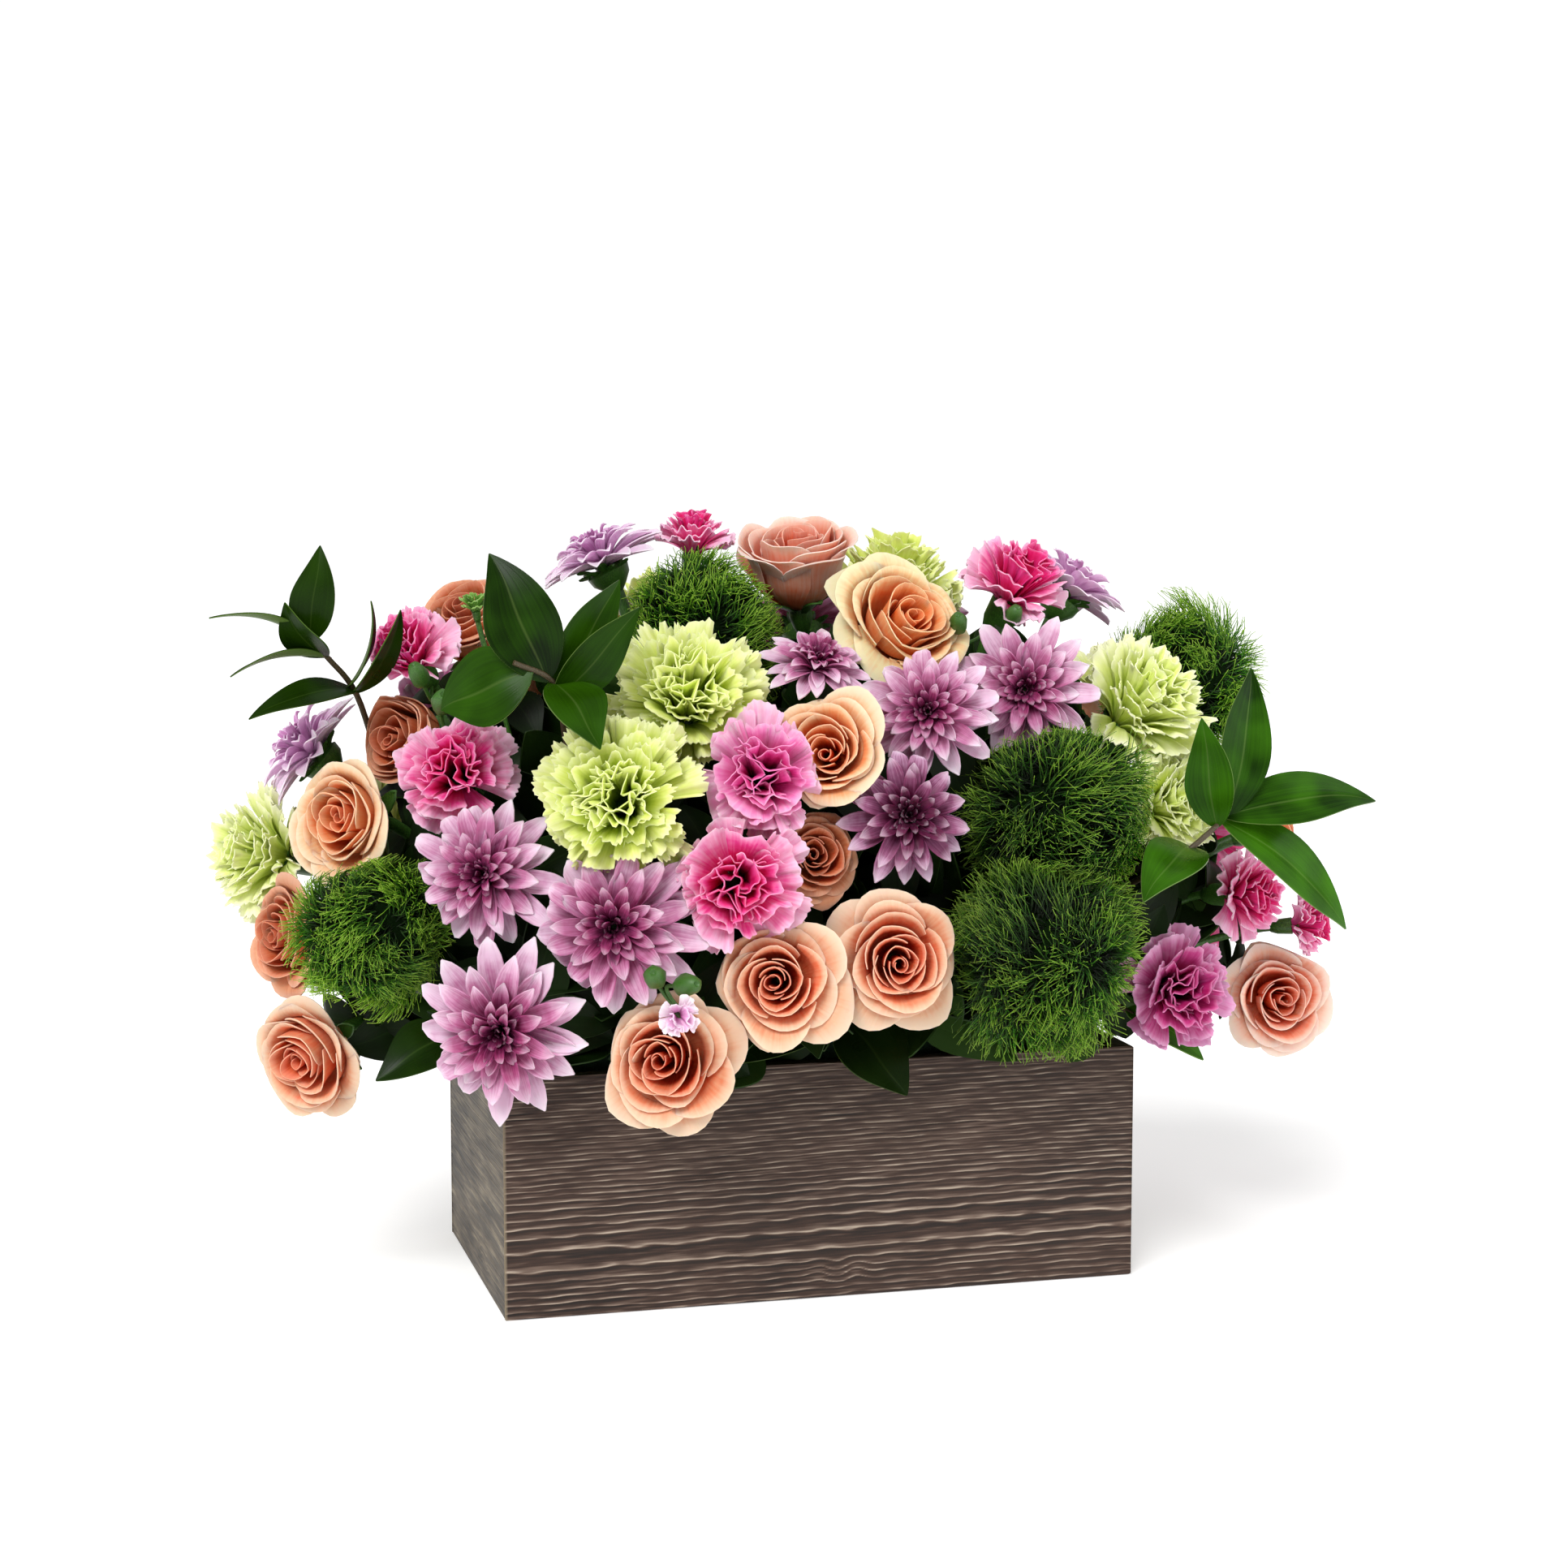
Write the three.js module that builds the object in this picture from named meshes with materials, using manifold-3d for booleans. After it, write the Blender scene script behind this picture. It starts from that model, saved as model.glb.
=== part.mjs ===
// A low table centrepiece: cut flowers standing in wet foam, in a rectangular woodgrain box.
// Millimetres, +Z up, origin at the centre of the box's underside, front towards -Y, long side along X.
import * as THREE from "three";
import { mergeVertices } from "three/addons/utils/BufferGeometryUtils.js";
import Module from "manifold-3d";

const wasm = await Module();
wasm.setup();

// ---------------------------------------------------------------- driving dimensions
const BOX_LENGTH = 240;
const BOX_DEPTH = 127;
const BOX_HEIGHT = 88;
const BOARD = 7; // thickness of the four side boards
const BASE_BOARD = 6;
const LINER_GAP = 0.5;
const LINER_WALL = 1.5;
const LINER_TOP = BOX_HEIGHT - 5;
const FOAM_GAP = 3; // between the foam brick and the liner's wall
const FOAM_TOP = BOX_HEIGHT + 24; // the brick stands proud, so that stems can go in from the side
const FOAM_BEVEL = 8;
const STEM_SIDES = 5;
const CALYX = 1.9; // how much wider a stem is where it meets its head
const RUSCUS_STEM = 1.3;
const STEM_CLEAR = 0.5; // between a stem and its hole in the foam
const STEM_APART = 1.7; // between two stems, on their way into the foam
const HEAD_GAP = 0.9; // kept between neighbouring flower heads
const LEAF_THICK = 1.3;
const LEAF_ROOT = 1.2; // how far a leaf's end goes into its stem

const foamHalfX = BOX_LENGTH / 2 - BOARD - LINER_GAP - LINER_WALL - FOAM_GAP;
const foamHalfY = BOX_DEPTH / 2 - BOARD - LINER_GAP - LINER_WALL - FOAM_GAP;

const v3 = (x, y, z) => new THREE.Vector3(x, y, z);
const from = (a) => new THREE.Vector3(...a);
const clamp = THREE.MathUtils.clamp;
const lerp = THREE.MathUtils.lerp;
const TURN = 2 * Math.PI;

// The same draw for the same name, so that a flower keeps its shape whatever stands around it.
function seeded(name) {
  let s = 2166136261;
  for (const c of name) s = Math.imul(s ^ c.charCodeAt(0), 16777619) >>> 0;
  return () => {
    s = (Math.imul(s, 1664525) + 1013904223) >>> 0;
    return s / 4294967296;
  };
}

// ---------------------------------------------------------------- closed meshes and joining
// A closed skin over a stack of rings, from the pole above the first to the pole below the last.
// Rings may hold different numbers of points: the strip between two is stitched by angle. Between
// rings of one count, each square is split along the diagonal nearer the heart, which leaves the
// raised points standing on their own.
function skin(topPole, rings, bottomPole, heart = null) {
  const points = [topPole, ...rings.flat(), bottomPole];
  const starts = [];
  let next = 1;
  for (const r of rings) {
    starts.push(next);
    next += r.length;
  }
  const faces = [];
  const first = rings[0].length;
  for (let i = 0; i < first; i++) faces.push(0, 1 + i, 1 + ((i + 1) % first));
  const depth = (i, j) => points[i].distanceTo(heart) + points[j].distanceTo(heart);
  for (let k = 0; k + 1 < rings.length; k++) {
    const n = rings[k].length;
    const m = rings[k + 1].length;
    const up = (i) => starts[k] + (i % n);
    const low = (j) => starts[k + 1] + (j % m);
    if (n === m) {
      for (let i = 0; i < n; i++) {
        const [a, b, c, d] = [up(i), low(i), low(i + 1), up(i + 1)];
        if (heart && depth(b, d) < depth(a, c)) faces.push(a, b, d, b, c, d);
        else faces.push(a, b, c, a, c, d);
      }
      continue;
    }
    let i = 0;
    let j = 0;
    while (i < n || j < m) {
      if (i < n && (j >= m || (i + 1) / n <= (j + 1) / m)) {
        faces.push(up(i), low(j), up(i + 1));
        i++;
      } else {
        faces.push(up(i), low(j), low(j + 1));
        j++;
      }
    }
  }
  const last = rings.at(-1).length;
  const lowest = starts.at(-1);
  const end = points.length - 1;
  for (let i = 0; i < last; i++) faces.push(lowest + i, end, lowest + ((i + 1) % last));
  return new THREE.BufferGeometry().setFromPoints(points).setIndex(faces);
}

function solid(geometry) {
  const bare = geometry.clone();
  bare.deleteAttribute("normal");
  bare.deleteAttribute("uv");
  const merged = mergeVertices(bare, 1e-4);
  return new wasm.Manifold(
    new wasm.Mesh({
      numProp: 3,
      vertProperties: merged.attributes.position.array,
      triVerts: new Uint32Array(merged.index.array),
    }),
  );
}

function geometryOf(body) {
  const mesh = body.getMesh();
  return new THREE.BufferGeometry()
    .setAttribute("position", new THREE.BufferAttribute(mesh.vertProperties, 3))
    .setIndex(new THREE.BufferAttribute(mesh.triVerts, 1));
}

const joined = (bodies) => bodies.reduce((a, b) => a.add(b));

// A ring of points round a path, square to the direction it runs there.
function roundRing(centre, along, radius, sides) {
  const side = Math.abs(along.z) < 0.9 ? v3(0, 0, 1).cross(along) : v3(0, 1, 0).cross(along);
  side.normalize();
  const up = along.clone().cross(side);
  return Array.from({ length: sides }, (_, i) => {
    const a = (-TURN * i) / sides;
    return centre
      .clone()
      .addScaledVector(side, radius * Math.cos(a))
      .addScaledVector(up, radius * Math.sin(a));
  });
}

function alongPath(path, i) {
  const a = path[Math.max(0, i - 1)];
  const b = path[Math.min(path.length - 1, i + 1)];
  return b.clone().sub(a).normalize();
}

function tube(path, radius, sides = STEM_SIDES) {
  const rings = path.map((p, i) => roundRing(p, alongPath(path, i), radius, sides));
  return skin(path[0], rings, path.at(-1));
}

// ---------------------------------------------------------------- flower heads
// Each gives rings in the head's own frame: unit radius, facing +Z, centre of the head at the origin.
const polar = (r, angle, z) => v3(r * Math.cos(angle), r * Math.sin(angle), z);
const circle = (count, at) => Array.from({ length: count }, (_, i) => at(i, (TURN * i) / count));

// Chrysanthemum: rows of pointed ray petals, the longest outside, round a small upright heart.
function mumHead(rand, petals) {
  const count = 2 * petals;
  const row = (odd, tip, tipUp, notch, notchUp) =>
    circle(count, (i, a) =>
      i % 2 === odd
        ? polar(tip * (0.93 + 0.14 * rand()), a, tipUp * (0.8 + 0.4 * rand()))
        : polar(notch, a, notchUp),
    );
  const plain = (points, r, z, turn) => circle(points, (i, a) => polar(r, a + turn, z));
  const half = Math.PI / petals;
  return [
    row(0, 0.26, 0.42, 0.14, 0.14),
    plain(petals, 0.26, 0.1, half),
    row(1, 0.7, 0.36, 0.42, 0.14),
    plain(petals, 0.5, 0.03, 0),
    row(0, 1.0, 0.16, 0.7, 0.0),
    plain(petals, 0.34, -0.18, 0),
  ];
}

// Rose: overlapping cupped petals in whorls. One side of each petal stands out over its neighbour.
const ROSE_LAP = [
  [0.86, -0.05],
  [1.03, 0.06],
  [1.1, 0.0],
];
function roseHead(rand, petals, whorls, closed) {
  const count = ROSE_LAP.length * petals;
  const narrow = lerp(1, 0.84, closed);
  const tall = tallness(closed);
  const groove = (r, z, turn) =>
    circle(2 * petals, (i, a) => polar(r * narrow, a + turn, z * tall));
  const rim = (r, z, whorl) =>
    circle(count, (i, a) => {
      const [out, up] = ROSE_LAP[(i + whorl) % ROSE_LAP.length];
      return polar(r * narrow * out * (0.97 + 0.06 * rand()), a, (z + up) * tall);
    });
  const rings = [
    circle(petals, (i, a) => polar(0.15 * narrow, a, (0.5 + 0.05 * rand()) * tall)),
    groove(0.2, 0.26, 0.1),
  ];
  for (let k = 1; k <= whorls; k++) {
    const out = k / whorls;
    rings.push(rim(lerp(0.16, 0.95, out), lerp(0.56, 0.14, out), k));
    rings.push(groove(lerp(0.2, 0.8, out), lerp(0.32, -0.16, out), 0.1));
  }
  rings.push(circle(6, (i, a) => polar(0.4 * narrow, a, -0.46 * tall)));
  return rings;
}

// How much taller than a full bloom a closed one is, for its width.
function tallness(closed = 0) {
  return lerp(1, 1.7, closed);
}

// Carnation: a dome of folded frills with a toothed edge, over a long tubular calyx.
function carnationHead(rand, frills, rows) {
  const count = 2 * frills;
  const rings = [];
  for (let k = 1; k <= rows; k++) {
    const out = k / rows;
    const fold = k === rows ? 0.15 : 0.1;
    const dome = 0.48 * (1 - out * out) + 0.04;
    rings.push(
      circle(count, (i, a) => {
        const high = (i + rows - k) % 2 === 1;
        const reach = out * (high ? 0.95 + 0.1 * rand() : 0.84);
        const lift = high ? fold * (0.8 + 0.5 * rand()) : -fold;
        return polar(reach, a + 0.4 * (rand() - 0.5) * (TURN / count), dome + lift);
      }),
    );
  }
  rings.push(circle(frills, (i, a) => polar(0.64, a, -0.38)));
  rings.push(circle(5, (i, a) => polar(0.2, a, -0.58)));
  return rings;
}

// Trick dianthus: a ball of thin green bristles, each lifted from the ball's own surface.
function trickHead(rand, around, rows) {
  const rings = [];
  for (let k = 1; k < rows; k++) {
    const down = (Math.PI * k) / rows;
    rings.push(
      circle(around, (i, a) => {
        const bristle = (i + k) % 2 === 0;
        const r = bristle ? 0.92 + 0.08 * rand() : 0.7;
        const lean = bristle ? 0.7 * (rand() - 0.5) * (TURN / around) : 0;
        return polar(r * Math.sin(down), a + lean, r * Math.cos(down));
      }),
    );
  }
  return rings;
}

// Stem radius, how far below a head's centre its stem starts (as a part of its radius), the height
// of its crown, and the petals' colour and roughness.
const KINDS = {
  rose: { stem: 2.0, neck: 0.66, crown: 0.44, colour: 0xf0a184, rough: 0.6 },
  mum: { stem: 1.9, neck: 0.42, crown: 0.16, colour: 0xb98ac4, rough: 0.6 },
  carnation: { stem: 2.0, neck: 0.85, crown: 0.6, colour: 0xb9dc72, rough: 0.65 },
  mini: { stem: 1.4, neck: 0.9, crown: 0.6, colour: 0xdb4fa5, rough: 0.65 },
  trick: { stem: 2.0, neck: 0.7, crown: 0.95, colour: 0x4f8a1f, rough: 0.8 },
};

// "shown" is 1 for a head in plain view, 0.5 for one partly tucked away and 0 for one at the back:
// the less of it shows, the fewer petals it has.
function headRings({ name, kind, size, closed = 0, shown = 1 }) {
  const rand = seeded(name);
  if (kind === "mum") return mumHead(rand, [8, 9, 11][2 * shown]);
  if (kind === "rose") return roseHead(rand, shown < 1 ? 4 : 5, shown ? 3 : 2, closed);
  if (kind === "carnation") return carnationHead(rand, [7, 7, 9][2 * shown], [3, 4, 5][2 * shown]);
  if (kind === "trick") return trickHead(rand, shown ? 18 : 14, shown ? 9 : 8);
  return size < 10 ? carnationHead(rand, 4, 2) : carnationHead(rand, 6, shown < 1 ? 3 : 4);
}

// ---------------------------------------------------------------- the arrangement
// Every head: where its centre is, the way it faces, and its radius. Heads under one name share a
// branching stem. "closed" is how far a rose is from full bloom, from 0 to 1.
const FLOWERS = {
  rose_top: [{ kind: "rose", at: [4, -4, 267], face: [-0.18, -0.25, 0.95], size: 25, closed: 1 }],
  rose_cream: [{ kind: "rose", at: [33, -50, 250], face: [0.15, -0.8, 0.55], size: 30 }],
  rose_middle: [{ kind: "rose", at: [-8, -92, 206], face: [-0.35, -0.87, 0.35], size: 24 }],
  rose_tucked: [
    { kind: "rose", at: [-12, -92, 168], face: [0, -0.97, 0.2], size: 20, shown: 0.5 },
  ],
  rose_front_spray: [
    { kind: "rose", at: [13, -110, 134], face: [-0.15, -0.97, 0.2], size: 27 },
    { kind: "rose", at: [-30, -110, 127], face: [-0.25, -0.95, 0.1], size: 26.5 },
    { kind: "rose", at: [-69, -106, 101], face: [-0.35, -0.92, 0.05], size: 27 },
  ],
  rose_right: [{ kind: "rose", at: [190, -34, 98], face: [0.35, -0.92, 0.1], size: 24 }],
  rose_right_high: [
    { kind: "rose", at: [196, -18, 163], face: [0.9, -0.35, 0.3], size: 21, closed: 0.3, shown: 0.5 },
  ],
  rose_left_high: [
    { kind: "rose", at: [-168, -30, 177], face: [-0.8, -0.58, 0.12], size: 24, closed: 0.6 },
  ],
  rose_left_tucked: [
    { kind: "rose", at: [-146, -8, 206], face: [-0.8, -0.55, 0.25], size: 21, closed: 0.8 },
  ],
  rose_left_low: [
    { kind: "rose", at: [-183, -14, 90], face: [-0.65, -0.7, -0.3], size: 24, closed: 0.3 },
  ],
  rose_left_back: [
    { kind: "rose", at: [-189, -4, 134], face: [-0.97, -0.2, 0], size: 22, closed: 0.5, shown: 0.5 },
  ],
  rose_under_leaves: [
    { kind: "rose", at: [-119, 10, 247], face: [-0.5, -0.45, 0.75], size: 23, closed: 0.6 },
  ],
  carnation_upper: [{ kind: "carnation", at: [-52, -62, 227], face: [-0.15, -0.8, 0.6], size: 35 }],
  carnation_front: [
    { kind: "carnation", at: [-82, -88, 192], face: [-0.35, -0.88, 0.35], size: 35 },
  ],
  carnation_right: [{ kind: "carnation", at: [126, -46, 214], face: [0.3, -0.75, 0.55], size: 33 }],
  carnation_right_low: [
    { kind: "carnation", at: [132, -61, 178], face: [0.35, -0.9, 0.2], size: 25, shown: 0.5 },
  ],
  carnation_left: [{ kind: "carnation", at: [-198, 30, 160], face: [-0.92, -0.2, 0.25], size: 28 }],
  carnation_top: [
    { kind: "carnation", at: [50, 18, 260], face: [0.1, -0.1, 0.98], size: 32, shown: 0.5 },
  ],
  trick_top: [{ kind: "trick", at: [-35, -16, 243], face: [-0.1, -0.4, 0.9], size: 36 }],
  trick_right_upper: [{ kind: "trick", at: [82, -84, 180], face: [0.2, -0.95, 0.25], size: 38 }],
  trick_right_lower: [{ kind: "trick", at: [68, -104, 132], face: [0.15, -0.98, 0], size: 37 }],
  trick_left: [{ kind: "trick", at: [-166, -46, 139], face: [-0.6, -0.8, 0], size: 34 }],
  trick_right_back: [{ kind: "trick", at: [160, 6, 224], face: [0.7, -0.2, 0.7], size: 36 }],
  mum_left_spray: [
    { kind: "mum", at: [-86, -98, 147], face: [-0.25, -0.95, 0.12], size: 36 },
    { kind: "mum", at: [-126, -74, 163], face: [-0.45, -0.85, 0.2], size: 31 },
    { kind: "mum", at: [-124, -90, 112], face: [-0.35, -0.93, -0.05], size: 35 },
  ],
  mum_right_spray: [
    { kind: "mum", at: [33, -80, 217], face: [-0.35, -0.9, 0.2], size: 28 },
    { kind: "mum", at: [19, -98, 182], face: [-0.1, -0.97, 0.2], size: 27 },
    { kind: "mum", at: [75, -64, 223], face: [-0.3, -0.92, 0.2], size: 30 },
  ],
  mum_tucked: [{ kind: "mum", at: [-5, -66, 233], face: [0, -0.6, 0.8], size: 22, shown: 0.5 }],
  mum_top: [{ kind: "mum", at: [-66, 17, 269], face: [-0.45, 0.05, 0.9], size: 28, shown: 0.5 }],
  mum_right_back: [
    { kind: "mum", at: [115, 2, 256], face: [0.5, 0.05, 0.85], size: 28, shown: 0.5 },
  ],
  mum_left_back: [
    { kind: "mum", at: [-177, 16, 199], face: [-0.75, 0.05, 0.6], size: 28, shown: 0.5 },
  ],
  mini_left_spray: [
    { kind: "mini", at: [-133, -49, 196], face: [-0.25, -0.9, 0.3], size: 25 },
    { kind: "mini", at: [-144, -12, 237], face: [-0.5, -0.6, 0.6], size: 21, shown: 0.5 },
    { kind: "mini", at: [-122, -26, 255], face: [-0.2, -0.3, 0.9], size: 7 },
  ],
  mini_centre_spray: [
    { kind: "mini", at: [-45, -106, 162], face: [-0.15, -0.98, 0.05], size: 28 },
    { kind: "mini", at: [-33, -95, 197], face: [-0.2, -0.95, 0.25], size: 27 },
    { kind: "mini", at: [-71, -133, 121], face: [-0.1, -0.9, -0.4], size: 9 },
  ],
  mini_right_spray: [
    { kind: "mini", at: [126, -86, 113], face: [0.2, -0.97, 0.05], size: 24 },
    { kind: "mini", at: [172, -44, 141], face: [0.5, -0.85, 0.1], size: 20, shown: 0.5 },
    { kind: "mini", at: [203, -32, 126], face: [0.85, -0.5, 0.1], size: 14, shown: 0.5 },
  ],
  mini_right_top: [{ kind: "mini", at: [82, -32, 260], face: [0.25, -0.6, 0.78], size: 23 }],
  mini_top: [{ kind: "mini", at: [-33, 8, 277], face: [0.05, 0, 1], size: 16, shown: 0.5 }],
  rose_back_left_spray: [
    { kind: "rose", at: [-86, 98, 119], face: [-0.25, 0.95, 0.1], size: 27, shown: 0 },
    { kind: "rose", at: [-136, 76, 105], face: [-0.55, 0.82, -0.05], size: 27, shown: 0 },
  ],
  rose_back_right_spray: [
    { kind: "rose", at: [58, 106, 105], face: [0.1, 0.98, -0.1], size: 27, shown: 0 },
    { kind: "rose", at: [108, 92, 117], face: [0.35, 0.92, 0.05], size: 27, shown: 0 },
  ],
  rose_back_high: [
    { kind: "rose", at: [-80, 64, 220], face: [-0.3, 0.75, 0.6], size: 27, shown: 0 },
  ],
  rose_back_high_right: [
    { kind: "rose", at: [104, 58, 220], face: [0.35, 0.7, 0.6], size: 27, shown: 0 },
    { kind: "rose", at: [142, 52, 194], face: [0.6, 0.75, 0.3], size: 25, shown: 0 },
  ],
  carnation_back_left: [
    { kind: "carnation", at: [-150, 52, 158], face: [-0.65, 0.75, 0.1], size: 33, shown: 0 },
  ],
  carnation_back_middle: [
    { kind: "carnation", at: [22, 98, 174], face: [0.05, 0.95, 0.3], size: 33, shown: 0 },
  ],
  carnation_back_top: [
    { kind: "carnation", at: [-34, 62, 238], face: [-0.1, 0.7, 0.7], size: 33, shown: 0 },
  ],
  trick_back_left: [
    { kind: "trick", at: [-92, 82, 166], face: [-0.35, 0.9, 0.3], size: 37, shown: 0 },
  ],
  trick_back_right: [
    { kind: "trick", at: [84, 84, 166], face: [0.3, 0.92, 0.25], size: 38, shown: 0 },
  ],
  mum_back_spray: [
    { kind: "mum", at: [10, 109, 126], face: [0, 0.98, 0.1], size: 32, shown: 0 },
    { kind: "mum", at: [-40, 104, 106], face: [-0.1, 0.98, -0.1], size: 32, shown: 0 },
    { kind: "mum", at: [-30, 98, 166], face: [-0.1, 0.95, 0.3], size: 32, shown: 0 },
  ],
  mum_back_left: [
    { kind: "mum", at: [-128, 48, 206], face: [-0.5, 0.65, 0.5], size: 31, shown: 0 },
  ],
  mum_back_high: [
    { kind: "mum", at: [24, 60, 242], face: [0.05, 0.65, 0.75], size: 29, shown: 0 },
    { kind: "mum", at: [66, 54, 238], face: [0.2, 0.65, 0.72], size: 29, shown: 0 },
  ],
  mini_back_spray: [
    { kind: "mini", at: [146, 70, 108], face: [0.5, 0.85, 0], size: 25, shown: 0 },
    { kind: "mini", at: [180, 34, 120], face: [0.9, 0.45, 0], size: 25, shown: 0 },
    { kind: "mini", at: [142, 68, 150], face: [0.6, 0.8, 0.15], size: 25, shown: 0 },
    { kind: "mini", at: [186, 20, 160], face: [0.95, 0.25, 0.15], size: 24, shown: 0 },
  ],
};

// Ruscus: the stem's route from its foot in the foam, then each leaf's base, tip, half width and
// the way its upper side faces. A branch starts on the stem.
const RUSCUS = {
  ruscus_left: {
    stem: [[-84, 4, 92], [-128, 2, 150], [-150, 12, 190], [-163, -8, 222], [-174, -18, 236], [-182, -22, 244]],
    branches: [[[-110, 2, 122], [-116, -8, 109], [-126, -44, 105], [-136, -64, 106]]],
    leaves: [
      { base: [-181, -22, 243], tip: [-177, -26, 277], half: 8, up: [-0.2, -0.95, 0.1] },
      { base: [-176, -19, 237], tip: [-191, -30, 257], half: 8.5, up: [-0.5, -0.6, -0.6] },
      { base: [-181, -22, 243], tip: [-217, -32, 252], half: 5, up: [0.2, 0.2, 0.95] },
      { base: [-174, -18, 236], tip: [-210, -30, 231], half: 5, up: [0.1, 0.3, 0.95] },
      { base: [-163, -12, 222], tip: [-204, -34, 216], half: 6.5, up: [-0.3, -0.75, 0.65] },
      { base: [-165, -13, 226], tip: [-159, -22, 257], half: 5, up: [0.85, -0.3, 0.2] },
      { base: [-163, -12, 222], tip: [-150, -32, 254], half: 6.5, up: [0.55, -0.8, 0.1] },
      { base: [-136, -64, 106], tip: [-166, -72, 92], half: 10, up: [-0.3, -0.8, 0.5] },
    ],
  },
  ruscus_centre: {
    stem: [[-52, -8, 84], [-84, -50, 170], [-96, -64, 208], [-103, -80, 230], [-118, -84, 238]],
    branches: [],
    leaves: [
      { base: [-106, -80, 232], tip: [-124, -72, 275], half: 13, up: [-0.2, -0.93, 0.3] },
      { base: [-102, -78, 229], tip: [-80, -78, 266], half: 9, up: [0.3, -0.85, 0.45] },
      { base: [-101, -76, 226], tip: [-74, -92, 252], half: 8, up: [0.5, -0.75, 0.45] },
      { base: [-114, -84, 236], tip: [-139, -62, 224], half: 11, up: [-0.35, -0.8, 0.5] },
      { base: [-103, -81, 229], tip: [-92, -103, 209], half: 11, up: [0.1, -0.7, 0.7] },
    ],
  },
  ruscus_right: {
    stem: [[76, -14, 92], [116, -42, 140], [123, -88, 160], [136, -92, 171], [145, -88, 177]],
    branches: [[[84, -18, 102], [106, -56, 107], [118, -68, 101]]],
    leaves: [
      { base: [145, -88, 177], tip: [164, -78, 230], half: 11, up: [0.1, -0.97, 0.1] },
      { base: [141, -90, 174], tip: [134, -92, 214], half: 9, up: [-0.5, -0.85, 0.1] },
      { base: [145, -88, 177], tip: [208, -84, 178], half: 9, up: [0.05, -0.6, 0.8] },
      { base: [143, -88, 175], tip: [197, -84, 133], half: 10, up: [0.3, -0.75, 0.6] },
      { base: [130, -91, 166], tip: [98, -130, 152], half: 9, up: [-0.3, -0.6, 0.75] },
      { base: [118, -64, 101], tip: [143, -76, 84], half: 8, up: [0.2, -0.75, 0.6] },
    ],
  },
  ruscus_front: {
    stem: [[2, -42, 104], [2, -62, 106], [5, -76, 104]],
    branches: [],
    leaves: [
      { base: [0, -72, 104], tip: [21, -92, 80], half: 14, up: [0.1, -0.9, 0.35] },
      { base: [0, -64, 106], tip: [-46, -78, 92], half: 9, up: [-0.1, -0.85, 0.5] },
    ],
  },
  ruscus_back: {
    stem: [[34, 8, 84], [44, 46, 160], [52, 74, 196], [60, 98, 214]],
    branches: [[[38, 22, 114], [20, 74, 106], [30, 84, 98]]],
    leaves: [
      { base: [60, 98, 214], tip: [84, 104, 252], half: 11, up: [0.1, 0.95, 0.3] },
      { base: [58, 92, 209], tip: [24, 118, 232], half: 11, up: [-0.2, 0.85, 0.5] },
      { base: [57, 88, 206], tip: [92, 122, 190], half: 11, up: [0.3, 0.85, 0.4] },
      { base: [54, 80, 200], tip: [32, 124, 168], half: 10, up: [-0.2, 0.85, 0.4] },
      { base: [30, 84, 98], tip: [26, 104, 76], half: 12, up: [0, 0.9, 0.4] },
    ],
  },
};

// ---------------------------------------------------------------- stems
const boxWall = new THREE.Box3(
  v3(-BOX_LENGTH / 2, -BOX_DEPTH / 2, 0),
  v3(BOX_LENGTH / 2, BOX_DEPTH / 2, BOX_HEIGHT),
);
const foamBlock = new THREE.Box3(v3(-foamHalfX, -foamHalfY, 0), v3(foamHalfX, foamHalfY, FOAM_TOP));

const heads = Object.entries(FLOWERS).flatMap(([node, list]) =>
  list.map((h, i) => ({
    ...h,
    node,
    name: `${node}_${i}`,
    centre: from(h.at),
    axis: from(h.face).normalize(),
  })),
);

// Where a stem ends in the foam: nearer the middle than its head, and deeper for a taller one.
function footOf(point) {
  return v3(0.53 * point.x, 0.34 * point.y, 100 - 0.22 * Math.max(0, point.z - 105));
}

// The short stretch behind the head runs straight out of the calyx, and then bends to the foam.
for (const h of heads) {
  h.drop = KINDS[h.kind].neck * tallness(h.closed) * h.size;
  h.neck = h.centre.clone().addScaledVector(h.axis, -h.drop);
  h.bend = h.neck.clone().addScaledVector(h.axis, -0.5 * h.size);
}

const standing = []; // each stem that goes into the foam, from its last bend to its foot
for (const [node, list] of Object.entries(FLOWERS)) {
  const own = heads.filter((h) => h.node === node);
  const middle = own.reduce((sum, h) => sum.add(h.bend), v3(0, 0, 0)).divideScalar(own.length);
  const foot = list[0].foot ? from(list[0].foot) : footOf(middle);
  standing.push({ node, own, top: middle, foot, radius: KINDS[list[0].kind].stem });
}
for (const plant of Object.values(RUSCUS)) {
  plant.stem = plant.stem.map(from);
  standing.push({ own: [], top: plant.stem[1], foot: plant.stem[0], radius: RUSCUS_STEM });
}

function nearestBetween(a, b) {
  let best = { gap: Infinity };
  for (let i = 0; i <= 24; i++) {
    const onA = a.foot.clone().lerp(a.top, i / 24);
    const onB = new THREE.Line3(b.foot, b.top).closestPointToPoint(onA, true, v3(0, 0, 0));
    const gap = onA.distanceTo(onB);
    if (gap < best.gap) best = { gap, onA, onB };
  }
  return best;
}

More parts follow.
